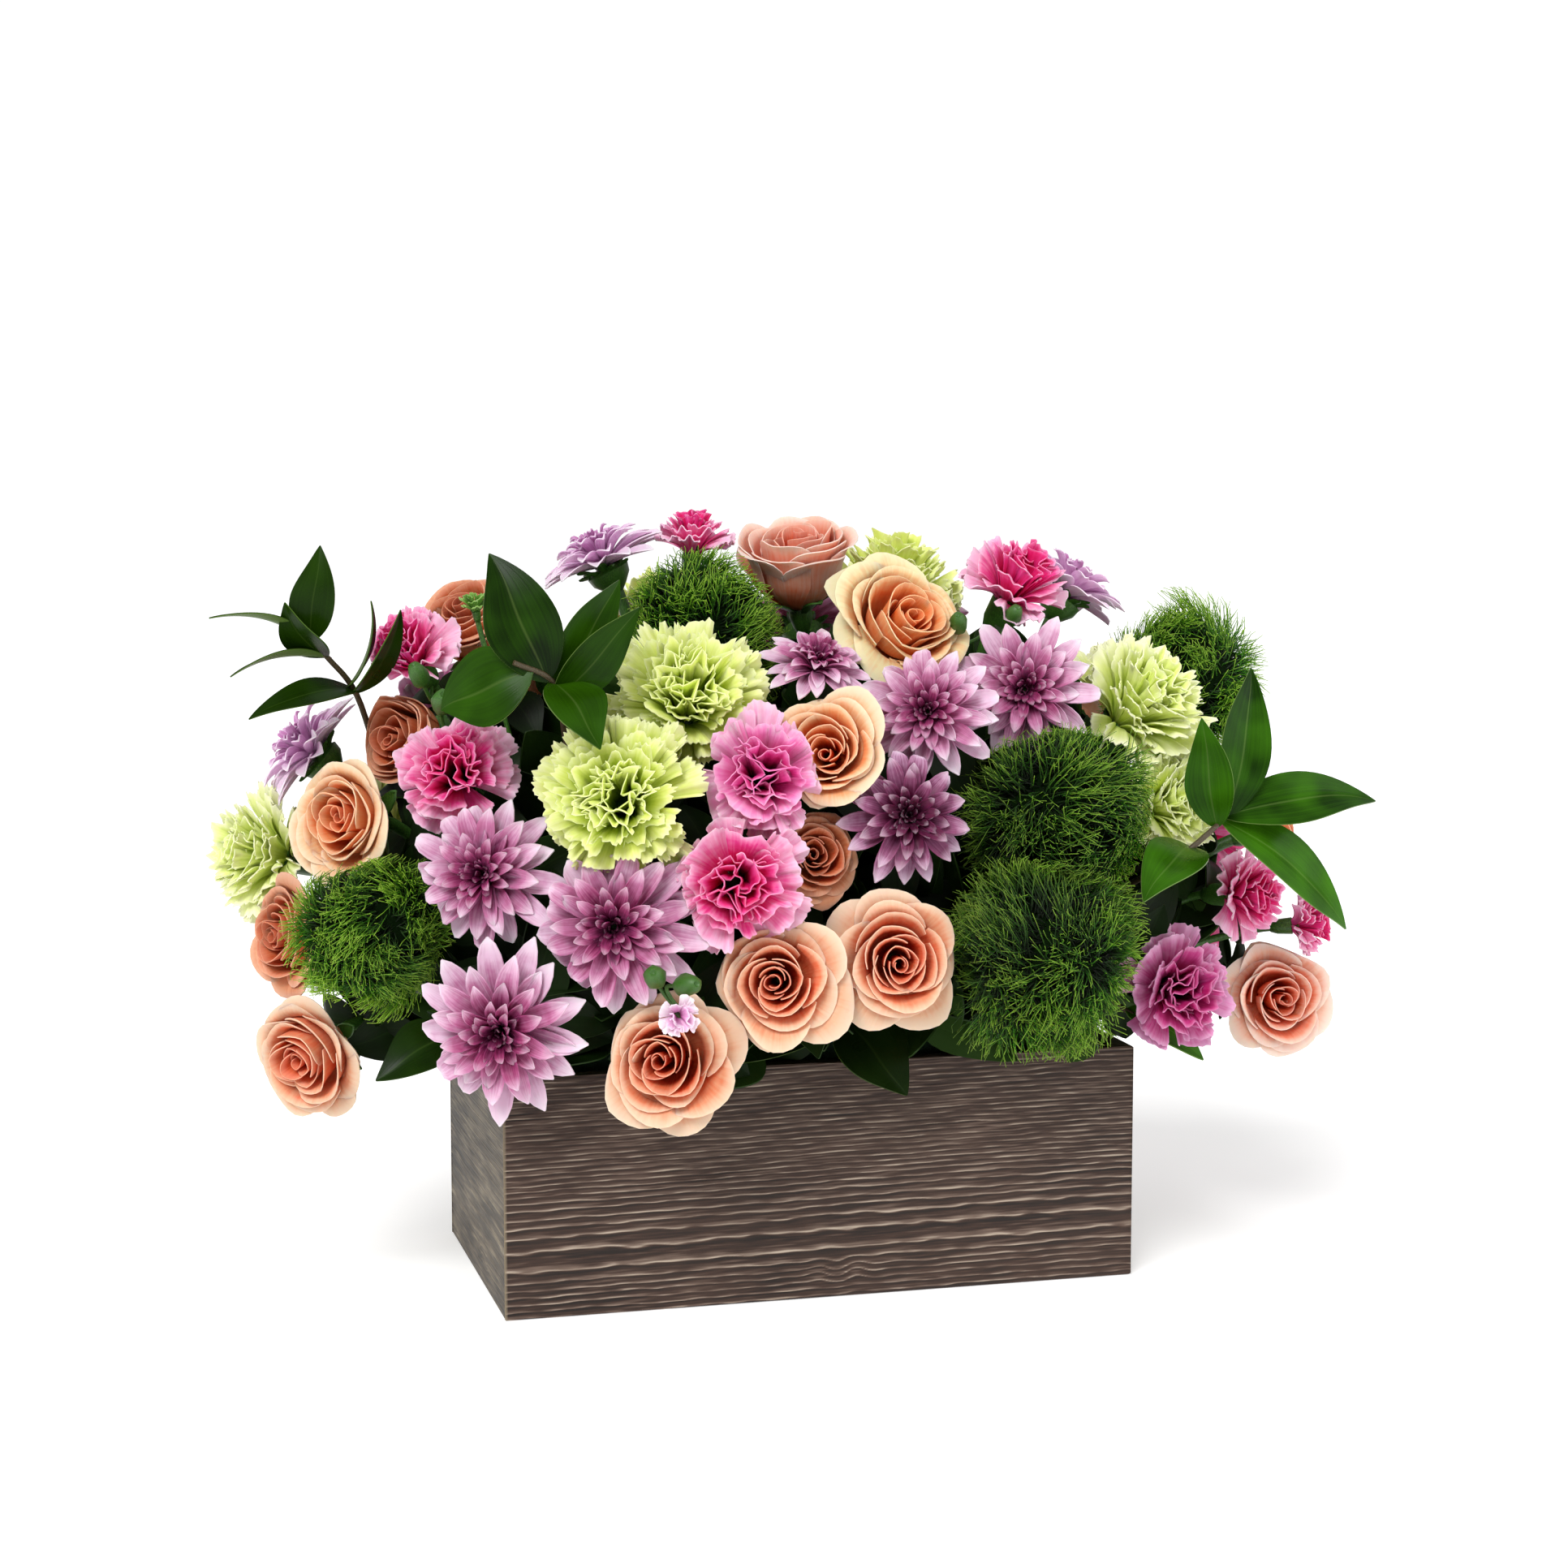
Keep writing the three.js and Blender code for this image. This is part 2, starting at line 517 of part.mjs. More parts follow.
// Stems that would meet on their way down are set apart in the foam, a little at a time.
function setFeetApart() {
  const edgeX = foamHalfX - FOAM_BEVEL - 4;
  const edgeY = foamHalfY - FOAM_BEVEL - 4;
  for (let round = 0; round < 60; round++) {
    standing.forEach((a, i) => {
      for (const b of standing.slice(i + 1)) {
        const near = nearestBetween(a, b);
        const short = a.radius + b.radius + STEM_APART - near.gap;
        if (short <= 0) continue;
        const push = near.onA.sub(near.onB).setZ(0).setLength(0.3 * short);
        a.foot.add(push);
        b.foot.sub(push);
        for (const s of [a, b]) {
          s.foot.x = clamp(s.foot.x, -edgeX, edgeX);
          s.foot.y = clamp(s.foot.y, -edgeY, edgeY);
        }
      }
    });
  }
}
setFeetApart();

// A spray's stem forks where it comes out of the foam.
for (const { own, top, foot } of standing) {
  const fork = foot.clone();
  const out = foamBlock.clone().expandByScalar(3);
  while (own.length > 1 && out.containsPoint(fork)) fork.lerp(top, 0.04);
  for (const h of own) Object.assign(h, { foot, fork, route: [h.neck, h.bend, fork] });
  if (own.length > 1) own[0].route.push(foot);
}

// ---------------------------------------------------------------- keeping heads clear
// Points that a head has to stay clear of, each with the radius of what it lies on.
function pointsAlong(path, radius, step = 4) {
  const found = [];
  for (let i = 0; i + 1 < path.length; i++) {
    const n = Math.max(1, Math.ceil(path[i].distanceTo(path[i + 1]) / step));
    for (let k = 0; k <= n; k++) {
      found.push({ at: path[i].clone().lerp(path[i + 1], k / n), radius });
    }
  }
  return found;
}

// The nearest point to a given one on a set of paths.
function nearestOn(paths, point) {
  let best = null;
  for (const path of paths) {
    for (let i = 0; i + 1 < path.length; i++) {
      const line = new THREE.Line3(path[i], path[i + 1]);
      const at = line.closestPointToPoint(point, true, v3(0, 0, 0));
      if (!best || at.distanceTo(point) < best.distanceTo(point)) best = at;
    }
  }
  return best;
}

for (const plant of Object.values(RUSCUS)) {
  plant.branches = plant.branches.map((points) => {
    const path = points.map(from);
    path[0] = nearestOn([plant.stem], path[0]);
    return path;
  });
  const paths = [plant.stem, ...plant.branches];
  for (const leaf of plant.leaves) {
    const root = nearestOn(paths, from(leaf.base));
    const back = root.clone().sub(from(leaf.tip)).normalize();
    leaf.start = root.addScaledVector(back, LEAF_ROOT);
  }
}

// A leaf's midline and section: an arched blade, folded a little along its rib.
const LEAF_STATIONS = [
  [0.07, 0.3],
  [0.26, 0.86],
  [0.5, 1],
  [0.76, 0.66],
];
function leafFrame(leaf, t) {
  const base = leaf.start;
  const tip = from(leaf.tip);
  const along = tip.clone().sub(base);
  const length = along.length();
  along.normalize();
  const up = from(leaf.up).addScaledVector(along, -from(leaf.up).dot(along)).normalize();
  const side = along.clone().cross(up);
  const arch = 0.1 * length * 4 * t * (1 - t);
  const at = base.clone().lerp(tip, t).addScaledVector(up, arch);
  return { at, up, side };
}
function leafGeometry(leaf) {
  const fold = 0.22;
  const rings = LEAF_STATIONS.map(([t, wide]) => {
    const { at, up, side } = leafFrame(leaf, t);
    const w = leaf.half * wide;
    const thick = (LEAF_THICK / 2) * lerp(1, 0.7, t);
    const edge = (s) => at.clone().addScaledVector(side, s * w).addScaledVector(up, fold * w);
    return [
      edge(1),
      at.clone().addScaledVector(up, thick),
      edge(-1),
      at.clone().addScaledVector(up, -thick),
    ];
  });
  return skin(leafFrame(leaf, 0).at, rings, leafFrame(leaf, 1).at);
}
function leafPoints(leaf) {
  const found = [];
  for (const [t, wide] of [[0, 0], ...LEAF_STATIONS, [0.9, 0.3], [1, 0]]) {
    const { at, up, side } = leafFrame(leaf, t);
    for (const s of [-1, -0.5, 0, 0.5, 1]) {
      const w = leaf.half * wide;
      found.push({
        at: at.clone().addScaledVector(side, s * w).addScaledVector(up, 0.22 * w * Math.abs(s)),
        radius: 1.6,
      });
    }
  }
  return found;
}

const stemPoints = heads.flatMap((h) =>
  pointsAlong([...h.route, h.foot], KINDS[h.kind].stem + 1).map((p) => ({ ...p, node: h.node })),
);
const ruscusPoints = Object.values(RUSCUS).flatMap((r) => [
  ...[r.stem, ...r.branches].flatMap((path) => pointsAlong(path, RUSCUS_STEM + 1)),
  ...r.leaves.flatMap(leafPoints),
]);

// The flat limits that a head keeps within: { way, far } is a direction from its centre and how far.
function limitsOf(head) {
  const limits = [];
  const add = (point, keep) => {
    const way = point.clone().sub(head.centre);
    const far = way.length() - keep;
    if (far > 1.25 * head.size) return;
    limits.push({ way: way.normalize(), far, from: keep });
  };
  for (const other of heads) {
    if (other === head) continue;
    const share = head.size / (head.size + other.size);
    const apart = other.centre.clone().sub(head.centre);
    const point = head.centre.clone().addScaledVector(apart, share);
    add(point, HEAD_GAP / 2);
  }
  for (const p of stemPoints) if (p.node !== head.node) add(p.at, p.radius);
  for (const p of ruscusPoints) add(p.at, p.radius);
  for (const block of [boxWall, foamBlock]) {
    add(block.clampPoint(head.centre, v3(0, 0, 0)), 1);
  }
  return limits;
}

// Presses a point in towards the head's centre so that it stays within every limit, softly:
// what lies well inside doesn't move, and what lies outside is bent in behind the limit.
const SOFT_FROM = 0.68;
function pressed(offset, limits) {
  let reach = 0;
  for (const { way, far } of limits) reach = Math.max(reach, offset.dot(way) / far);
  if (reach <= SOFT_FROM) return offset;
  const room = 1 - SOFT_FROM;
  const kept = SOFT_FROM + room * (1 - Math.exp(-(reach - SOFT_FROM) / room));
  return offset.clone().multiplyScalar(kept / reach);
}

// ---------------------------------------------------------------- flowers as solids
const UP = v3(0, 0, 1);
function flowerSkin(head) {
  const path = head.route;
  const limits = limitsOf(head);
  const turn = new THREE.Quaternion().setFromUnitVectors(UP, head.axis);
  const spin = TURN * seeded(head.name)();
  const place = (p) => {
    const local = p.clone().applyAxisAngle(UP, spin).multiplyScalar(head.size);
    return pressed(local.applyQuaternion(turn), limits).add(head.centre);
  };
  const rings = headRings(head).map((ring) => ring.map(place));
  const { crown, stem } = KINDS[head.kind];
  const top = place(v3(0, 0, crown * tallness(head.closed)));
  // The stem's first ring turns with the head, so that the strip to it doesn't twist.
  const calyx = Array.from({ length: STEM_SIDES }, (_, i) => {
    return polar(CALYX * stem, (TURN * i) / STEM_SIDES, -head.drop)
      .applyAxisAngle(UP, spin)
      .applyQuaternion(turn)
      .add(head.centre);
  });
  const stemRings = path.slice(1).map((p, i) => {
    const along = alongPath(path, i + 1);
    return turned(calyx, head.centre, path[0], p, along, 1 / CALYX);
  });
  return skin(top, [...rings, calyx, ...stemRings], path.at(-1), head.centre);
}

// The calyx's ring carried to another point of the stem, square to the stem there.
function turned(ring, centre, start, to, along, scale) {
  const back = centre.clone().sub(start).normalize();
  const turn = new THREE.Quaternion().setFromUnitVectors(back.negate(), along);
  return ring.map((p) =>
    p.clone().sub(start).multiplyScalar(scale).applyQuaternion(turn).add(to),
  );
}

function flowerNode(node) {
  const own = heads.filter((h) => h.node === node).map(flowerSkin);
  return own.length === 1 ? own[0] : geometryOf(joined(own.map(solid)));
}

function ruscusNode(plant) {
  const bodies = [plant.stem, ...plant.branches].map((path) =>
    solid(tube([...path].reverse(), RUSCUS_STEM)),
  );
  return geometryOf(joined([...bodies, ...plant.leaves.map((leaf) => solid(leafGeometry(leaf)))]));
}

// ---------------------------------------------------------------- box, liner and foam
// A side board: a strip with mitred ends, standing on edge.
function board(length) {
  const h = length / 2;
  const outline = new THREE.Shape([
    new THREE.Vector2(-h, 0),
    new THREE.Vector2(h, 0),
    new THREE.Vector2(h - BOARD, BOARD),
    new THREE.Vector2(-h + BOARD, BOARD),
  ]);
  return new THREE.ExtrudeGeometry(outline, { depth: BOX_HEIGHT, bevelEnabled: false });
}

function block(length, depth, low, high) {
  return new THREE.BoxGeometry(length, depth, high - low).translate(0, 0, (low + high) / 2);
}

const innerLength = BOX_LENGTH - 2 * BOARD;
const innerDepth = BOX_DEPTH - 2 * BOARD;
const linerLength = innerLength - 2 * LINER_GAP;
const linerDepth = innerDepth - 2 * LINER_GAP;
const linerFloor = BASE_BOARD + LINER_WALL;

function liner() {
  const outside = block(linerLength, linerDepth, BASE_BOARD, LINER_TOP);
  const inside = block(
    linerLength - 2 * LINER_WALL,
    linerDepth - 2 * LINER_WALL,
    linerFloor,
    LINER_TOP + 10,
  );
  return geometryOf(solid(outside).subtract(solid(inside)));
}

// The hole that a stem stands in: the stem's own line, a little wider, and a little deeper.
function hole(start, foot, radius) {
  const along = foot.clone().sub(start).normalize();
  return solid(tube([start, foot.clone().addScaledVector(along, 1.5)], radius + STEM_CLEAR));
}

function foam() {
  const rectangle = (halfX, halfY, z) => [
    v3(-halfX, -halfY, z),
    v3(halfX, -halfY, z),
    v3(halfX, halfY, z),
    v3(-halfX, halfY, z),
  ];
  const brick = skin(
    v3(0, 0, FOAM_TOP),
    [
      rectangle(foamHalfX - FOAM_BEVEL, foamHalfY - FOAM_BEVEL, FOAM_TOP),
      rectangle(foamHalfX, foamHalfY, FOAM_TOP - FOAM_BEVEL),
      rectangle(foamHalfX, foamHalfY, linerFloor),
    ],
    v3(0, 0, linerFloor),
  );
  const holes = [];
  for (const node of Object.keys(FLOWERS)) {
    const own = heads.filter((h) => h.node === node);
    holes.push(hole(own[0].route.at(-2), own[0].foot, KINDS[own[0].kind].stem));
  }
  for (const plant of Object.values(RUSCUS)) {
    holes.push(hole(plant.stem[1], plant.stem[0], RUSCUS_STEM));
    for (const path of plant.branches) holes.push(hole(path[1], path[0], RUSCUS_STEM));
  }
  return geometryOf(solid(brick).subtract(joined(holes)));
}

// ---------------------------------------------------------------- the assembly
const finish = (color, roughness) => new THREE.MeshStandardMaterial({ color, roughness, metalness: 0 });
const WOOD = finish(0x5b4a42, 0.75);
const PLASTIC = finish(0x2a2c2a, 0.5);
const FOAM = finish(0x2f5a38, 0.95);
const LEAF = finish(0x2f5c22, 0.4);

const arrangement = new THREE.Group();
function add(name, geometry, material) {
  const mesh = new THREE.Mesh(geometry, material);
  mesh.name = name;
  arrangement.add(mesh);
  return mesh;
}

add("box_front_board", board(BOX_LENGTH), WOOD).position.set(0, -BOX_DEPTH / 2, 0);
const back = add("box_back_board", board(BOX_LENGTH), WOOD);
back.position.set(0, BOX_DEPTH / 2, 0);
back.rotation.z = Math.PI;
const left = add("box_left_board", board(BOX_DEPTH), WOOD);
left.position.set(-BOX_LENGTH / 2, 0, 0);
left.rotation.z = -Math.PI / 2;
const right = add("box_right_board", board(BOX_DEPTH), WOOD);
right.position.set(BOX_LENGTH / 2, 0, 0);
right.rotation.z = Math.PI / 2;
add("box_base_board", block(innerLength, innerDepth, 0, BASE_BOARD), WOOD);
add("liner", liner(), PLASTIC);
add("foam_brick", foam(), FOAM);

for (const [node, list] of Object.entries(FLOWERS)) {
  const { colour, rough } = KINDS[list[0].kind];
  add(node, flowerNode(node), finish(colour, rough));
}
for (const [node, plant] of Object.entries(RUSCUS)) add(node, ruscusNode(plant), LEAF);

export default arrangement;
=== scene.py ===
import math
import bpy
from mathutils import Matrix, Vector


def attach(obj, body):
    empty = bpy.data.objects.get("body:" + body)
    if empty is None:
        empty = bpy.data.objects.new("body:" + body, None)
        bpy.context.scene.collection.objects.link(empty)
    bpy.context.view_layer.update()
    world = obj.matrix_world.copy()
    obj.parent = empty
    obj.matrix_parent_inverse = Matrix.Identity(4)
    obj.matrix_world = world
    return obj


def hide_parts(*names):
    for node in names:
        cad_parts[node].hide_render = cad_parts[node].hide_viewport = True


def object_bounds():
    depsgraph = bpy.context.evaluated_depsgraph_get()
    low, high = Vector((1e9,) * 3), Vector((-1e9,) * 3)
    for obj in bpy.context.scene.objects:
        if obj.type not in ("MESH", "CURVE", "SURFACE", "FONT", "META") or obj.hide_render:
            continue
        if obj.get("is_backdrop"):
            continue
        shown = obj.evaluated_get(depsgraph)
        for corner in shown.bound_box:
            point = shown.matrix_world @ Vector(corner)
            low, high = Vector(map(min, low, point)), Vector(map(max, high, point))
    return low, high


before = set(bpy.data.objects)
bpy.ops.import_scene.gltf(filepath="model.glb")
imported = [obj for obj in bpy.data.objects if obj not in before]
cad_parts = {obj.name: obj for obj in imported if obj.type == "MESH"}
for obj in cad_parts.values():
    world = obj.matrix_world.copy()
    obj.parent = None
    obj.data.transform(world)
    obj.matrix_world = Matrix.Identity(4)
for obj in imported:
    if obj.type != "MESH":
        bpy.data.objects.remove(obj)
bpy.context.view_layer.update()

import zlib

import bpy
import numpy as np
from mathutils import Vector

# ---------------------------------------------------------------- the table and the studio
# A white table top, lit a little from below like a photographer's, that runs on into a white wall.
# A broad soft lamp stands up on the left and a weaker one on the right. The camera looks at the
# long front of the box from a little to its left.
CAMERA_AT = (-0.2876, -1.0797, 0.3038)
CAMERA_DOWN = 6.119  # degrees below level
CAMERA_ROUND = -14.947  # degrees from square on to the front
CAMERA_LENS = 67.27
CAMERA_SENSOR = 36
CAMERA_SIGHT = 30  # metres
TABLE_HALF = 6.0
TABLE_DROP = 0.0003  # keeps the table top just under the box
WALL_WHITE = 1.05  # as bright as the wall looks
WALL_LIGHT = 0.42  # what it sends onto the flowers
TABLE_GLOW = 0.32
LAMPS_AIM = (0, 0, 0.15)
KEY_FROM = (-0.62, -0.8, 1.05)
KEY_SOFTNESS = 30  # degrees across
KEY_STRENGTH = 2.72
FILL_FROM = (1.5, -1.1, 0.9)
FILL_SIZE = 1.4
FILL_POWER = 14


def srgb(code):
    """A colour from its six-figure screen code."""
    parts = [int(code[i:i + 2], 16) / 255 for i in (0, 2, 4)]
    return (*[p / 12.92 if p <= 0.04045 else ((p + 0.055) / 1.055) ** 2.4 for p in parts], 1.0)


def feed(node, inputs):
    """Feeds a node's inputs, by name or number, from sockets, screen codes or plain values."""
    for key, value in inputs.items():
        if isinstance(value, bpy.types.NodeSocket):
            node.id_data.links.new(value, node.inputs[key])
        else:
            node.inputs[key].default_value = srgb(value) if isinstance(value, str) else value


def new_finish(name):
    """A material, its main shader, and a function that adds a node and gives one of its outputs."""
    material = bpy.data.materials.new(name)
    material.use_nodes = True
    tree = material.node_tree

    def add(kind, inputs, output=0, **settings):
        node = tree.nodes.new(kind)
        for key, value in settings.items():
            setattr(node, key, value)
        feed(node, inputs)
        return node.outputs[output]

    return material, tree.nodes["Principled BSDF"], add


def ramp(add, source, stops):
    """Colours laid along a value from 0 to 1: stops is a list of (place, screen code)."""
    found = add("ShaderNodeValToRGB", {0: source})
    band = found.node.color_ramp
    while len(band.elements) < len(stops):
        band.elements.new(0.5)
    for element, (place, code) in zip(band.elements, stops):
        element.position = place
        element.color = srgb(code)
    return found


def ranged(add, source, low, high, to_low=0.0, to_high=1.0):
    """A value carried from one range to another, and held inside it."""
    return add("ShaderNodeMapRange", dict(enumerate((source, low, high, to_low, to_high))))


def noise_to(add, source, to_low, to_high):
    """A noise, which mostly runs from 0.3 to 0.7, carried to another range."""
    return ranged(add, source, 0.3, 0.7, to_low, to_high)


def noise(add, scale, detail, place=None, roughness=0.5):
    """A cloudy value. Without a place it is laid by the piece's own box."""
    inputs = {"Scale": scale, "Detail": detail, "Roughness": roughness}
    if place:
        inputs["Vector"] = place
    return add("ShaderNodeTexNoise", inputs)


def bumped(add, height, strength, depth):
    return add("ShaderNodeBump", {"Height": height, "Strength": strength, "Distance": depth})


def mottled_finish(name, scale, detail, stops, rough, shine=0.5, bump=None, **more):
    """A finish of mottled colour. rough: a value or a (low, high) pair. bump: (strength, depth)."""
    material, shader, add = new_finish(name)
    mottle = noise(add, scale, detail)
    if isinstance(rough, tuple):
        rough = noise_to(add, mottle, *rough)
    if bump:
        more["Normal"] = bumped(add, mottle, *bump)
    colour = ramp(add, mottle, stops)
    feed(shader, {"Base Color": colour, "Roughness": rough, "Specular IOR Level": shine, **more})
    return material


table_glow = {"Emission Color": (1, 1, 1, 1), "Emission Strength": TABLE_GLOW}
table_finish = mottled_finish(
    "table_white", 3, 2, [(0.0, "F6F6F5"), (1.0, "FAFAFA")], 0.9, 0.1, **table_glow,
)
table_mesh = bpy.data.meshes.new("table_top")
corners = ((-1, -1), (1, -1), (1, 1), (-1, 1))
table_mesh.from_pydata(
    [(x * TABLE_HALF, y * TABLE_HALF, -TABLE_DROP) for x, y in corners], [], [(0, 1, 2, 3)],
)
table_mesh.materials.append(table_finish)
table = bpy.data.objects.new("table_top", table_mesh)
bpy.context.scene.collection.objects.link(table)
table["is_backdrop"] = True

studio = bpy.data.worlds.new("white_studio")
studio.use_nodes = True
wall = studio.node_tree.nodes
sight = wall.new("ShaderNodeLightPath")
level = wall.new("ShaderNodeMapRange")
level.inputs["To Min"].default_value = WALL_LIGHT
level.inputs["To Max"].default_value = WALL_WHITE
studio.node_tree.links.new(sight.outputs["Is Camera Ray"], level.inputs["Value"])
studio.node_tree.links.new(level.outputs[0], wall["Background"].inputs["Strength"])
wall["Background"].inputs["Color"].default_value = (1, 1, 1, 1)
bpy.context.scene.world = studio
bpy.context.scene.view_settings.view_transform = "Standard"


def hang_lamp(name, kind, place):
    lamp = bpy.data.objects.new(name, bpy.data.lights.new(name, kind))
    lamp.location = place
    lamp.rotation_euler = (Vector(LAMPS_AIM) - Vector(place)).to_track_quat("-Z", "Y").to_euler()
    bpy.context.scene.collection.objects.link(lamp)
    return lamp.data


key = hang_lamp("key_lamp", "SUN", KEY_FROM)
key.angle = math.radians(KEY_SOFTNESS)
key.energy = KEY_STRENGTH
fill = hang_lamp("fill_lamp", "AREA", FILL_FROM)
fill.size = FILL_SIZE
fill.energy = FILL_POWER

camera = bpy.data.objects.new("camera", bpy.data.cameras.new("camera"))
camera.data.lens = CAMERA_LENS
camera.data.sensor_width = CAMERA_SENSOR
camera.data.clip_end = CAMERA_SIGHT
camera.location = CAMERA_AT
camera.rotation_euler = (math.radians(90 - CAMERA_DOWN), 0, math.radians(CAMERA_ROUND))
bpy.context.scene.collection.objects.link(camera)
bpy.context.scene.camera = camera

# ---------------------------------------------------------------- the box's side boards
# Four mitred boards, faced with a dark espresso laminate that is pressed with a raised wood grain:
# light, worn ridges over dark valleys. At the corners the light core shows as a thin line.
MM = 0.001
BOX_LENGTH = 240
BOX_DEPTH = 127
BOX_HEIGHT = 88
BOARD = 7
GRAIN_DEPTH = 0.42  # from a ridge down to a valley
GRAIN_LINES = [-3, 0.5, 3, 5.6, 8.2, 10.6, 13.6, 17.6, 24.8, 30, 33.6, 36.6, 40, 42.6, 45]
GRAIN_LINES += [45 + 2.05 * k for k in range(1, 23)]
RIDGE = [  # how high the grain stands between one line and the next
    (0, 1), (0.12, 0.72), (0.28, 0.42), (0.6, 0.34), (0.8, 0.1), (0.9, 0.3), (1, 1),
]
GRAIN_CLEAR = [(0, 0.55), (10, 0.65), (17, 0.95), (40, 0.85), (52, 0.4), (88, 0.24)]  # by height
GRAIN_MIDDLE = [(0, 0.16), (40, 0.22), (55, 0.3)]
KNOT_HEIGHT = 10
GRAIN_ACROSS = 0.25  # steps of the mesh, across the grain and along it
GRAIN_ALONG = 1.25
SIDE_BOLD = 0.45  # how strong the grain is on the short boards, beside the long ones
CORNER_LINE = 1.0
CORE_COLOUR = "94866F"
TONE_PLACES = (0.02, 0.3, 0.62, 0.95)
EDGE_ROUND = 0.5


def waves(a, b, rng, count, longest, shortest):
    """Smooth uneven ripples between about -1 and 1 over two coordinates in millimetres."""
    total = 0
    for length in np.geomspace(longest, shortest, count):
        k = 2 * math.pi / length
        way = rng.uniform(0, 2 * math.pi)
        total = total + np.sin(k * (a * math.cos(way) + b * math.sin(way)) + rng.uniform(0, 7))
    return total / math.sqrt(count)


def grain(along, height, rng, bold):
    """How high the grain stands at a place on a board, from 0 in a valley to 1 on a ridge."""
    drift = 0.9 * waves(along, height * 0.3, rng, 3, 300, 110)
    drift = drift + 0.12 * waves(along, height, rng, 3, 80, 30)
    knot = np.exp(-(((along - rng.uniform(-10, 25)) / 12) ** 2) - ((height - KNOT_HEIGHT) / 5) ** 2)
    level = height + drift + 1.5 * knot * np.sin(along / 2.6)
    line = np.interp(level, GRAIN_LINES, np.arange(len(GRAIN_LINES)))
    line = line + 0.07 * waves(along, height * 4, rng, 4, 60, 12)
    ridge = np.interp(line % 1, *zip(*RIDGE))
    worn = 0.5 + 0.5 * waves(along, np.round(line) * 37.0, rng, 4, 70, 10)
    clear = np.interp(height, *zip(*GRAIN_CLEAR))
    worn = np.clip(clear + 0.7 * worn, 0.15, 1) * bold
    fibres = 0.5 + 0.5 * waves(along * 0.05, height, rng, 5, 2.4, 0.9)
    middle = np.interp(height, *zip(*GRAIN_MIDDLE))
    return np.clip(middle + (ridge - 0.3) * worn + 0.2 * (fibres - 0.5), 0, 1)


def lay_piece(name, points, faces, material, slot, takes, marks=None, sharp=60):
    """A mesh from points in millimetres, riding on the part. takes: the solids it stands for."""
    mesh = bpy.data.meshes.new(name)
    mesh.vertices.add(len(points))
    mesh.vertices.foreach_set("co", (np.asarray(points) * MM).astype(np.float32).ravel())
    corners = np.concatenate([np.asarray(f).ravel() for f in faces])
    sizes = np.concatenate([np.full(len(f), len(f[0])) for f in faces])
    mesh.loops.add(len(corners))
    mesh.loops.foreach_set("vertex_index", corners.astype(np.int32))
    mesh.polygons.add(len(sizes))
    starts = np.concatenate([[0], np.cumsum(sizes)[:-1]])
    mesh.polygons.foreach_set("loop_start", starts.astype(np.int32))
    mesh.polygons.foreach_set("use_smooth", np.ones(len(sizes), bool))
    mesh.update(calc_edges=True)
    for mark, values in (marks or {}).items():
        flat = mesh.attributes.new(mark, "FLOAT_COLOR" if np.ndim(values) == 2 else "FLOAT", "POINT")
        field = "color" if np.ndim(values) == 2 else "value"
        flat.data.foreach_set(field, np.asarray(values, np.float32).ravel())
    mesh.set_sharp_from_angle(angle=math.radians(sharp))
    mesh.materials.append(material)
    piece = bpy.data.objects.new(name, mesh)
    bpy.context.scene.collection.objects.link(piece)
    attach(piece, "root")
    if takes:
        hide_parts(*takes)


def seeded(name):
    """Random draws that are the same at every run."""
    return np.random.default_rng(zlib.crc32(name.encode()))


def blend(add, amount, first, second):
    """Two colours mixed."""
    return add("ShaderNodeMix", {0: amount, 6: first, 7: second}, 2, data_type="RGBA")


def maths(add, operation, *values):
    """A sum done in the shader."""
    return add("ShaderNodeMath", dict(enumerate(values)), operation=operation)


def swayed(add, tone, source, weight):
    """A tone moved up and down by a noise."""
    return maths(add, "MULTIPLY_ADD", noise_to(add, source, -0.5, 0.5), weight, tone)


def stretched_noise(add, place, stretch, detail, roughness=0.5):
    """A noise drawn out by its own amount along each axis."""
    place = add("ShaderNodeMapping", {"Vector": place, "Scale": stretch})
    return noise(add, 1, detail, place, roughness)


def woodgrain_finish(name, tones, wash, wash_most, mottle):
    """The laminate: colour follows the pressed grain, broken up by fine streaks along it."""
    material, shader, add = new_finish(name)
    raised = add("ShaderNodeAttribute", {}, "Fac", attribute_name="grain")
    corner = add("ShaderNodeAttribute", {}, "Fac", attribute_name="corner")
    place = add("ShaderNodeTexCoord", {}, "Object")
    streaks = stretched_noise(add, place, (60, 60, 1500), 4, 0.65)
    patchy = stretched_noise(add, place, (14, 14, 60), 3)
    spots = stretched_noise(add, place, (26, 26, 170), 4, 0.6)
    tone = swayed(add, swayed(add, raised, streaks, 0.3), spots, mottle)
    colour = ramp(add, tone, list(zip(TONE_PLACES, tones)))
    colour = blend(add, ranged(add, patchy, 0.4, 0.75, 0.0, wash_most), colour, wash)
    feed(shader, {
        "Base Color": blend(add, corner, colour, CORE_COLOUR), "Specular IOR Level": 0.35,
        "Roughness": ranged(add, raised, 0, 1, 0.52, 0.7), "Normal": bumped(add, streaks, 0.35, 0.0004),
    })
    return material


front_wood = woodgrain_finish(
    "espresso_woodgrain", ("170C06", "35231A", "67554A", "AE9F8E"), "48342A", 0.32, 0.08,
)
# The short boards take a lighter, greyer copy of the laminate with a stronger mottle: the lightness is
# painted light, as if the lamp on the left lit these sides more than the long ones.
side_wood_painted_lighter = woodgrain_finish(
    "espresso_woodgrain_side_painted_lighter", ("2C241A", "53483A", "7A6F5C", "A39A84"), "766B5A", 0.3, 0.75,
)


def spun(x, y, z, turn):
    """Points turned about the upright axis."""
    cos, sin = math.cos(turn), math.sin(turn)
    return np.stack([x * cos - y * sin, x * sin + y * cos, z], -1)


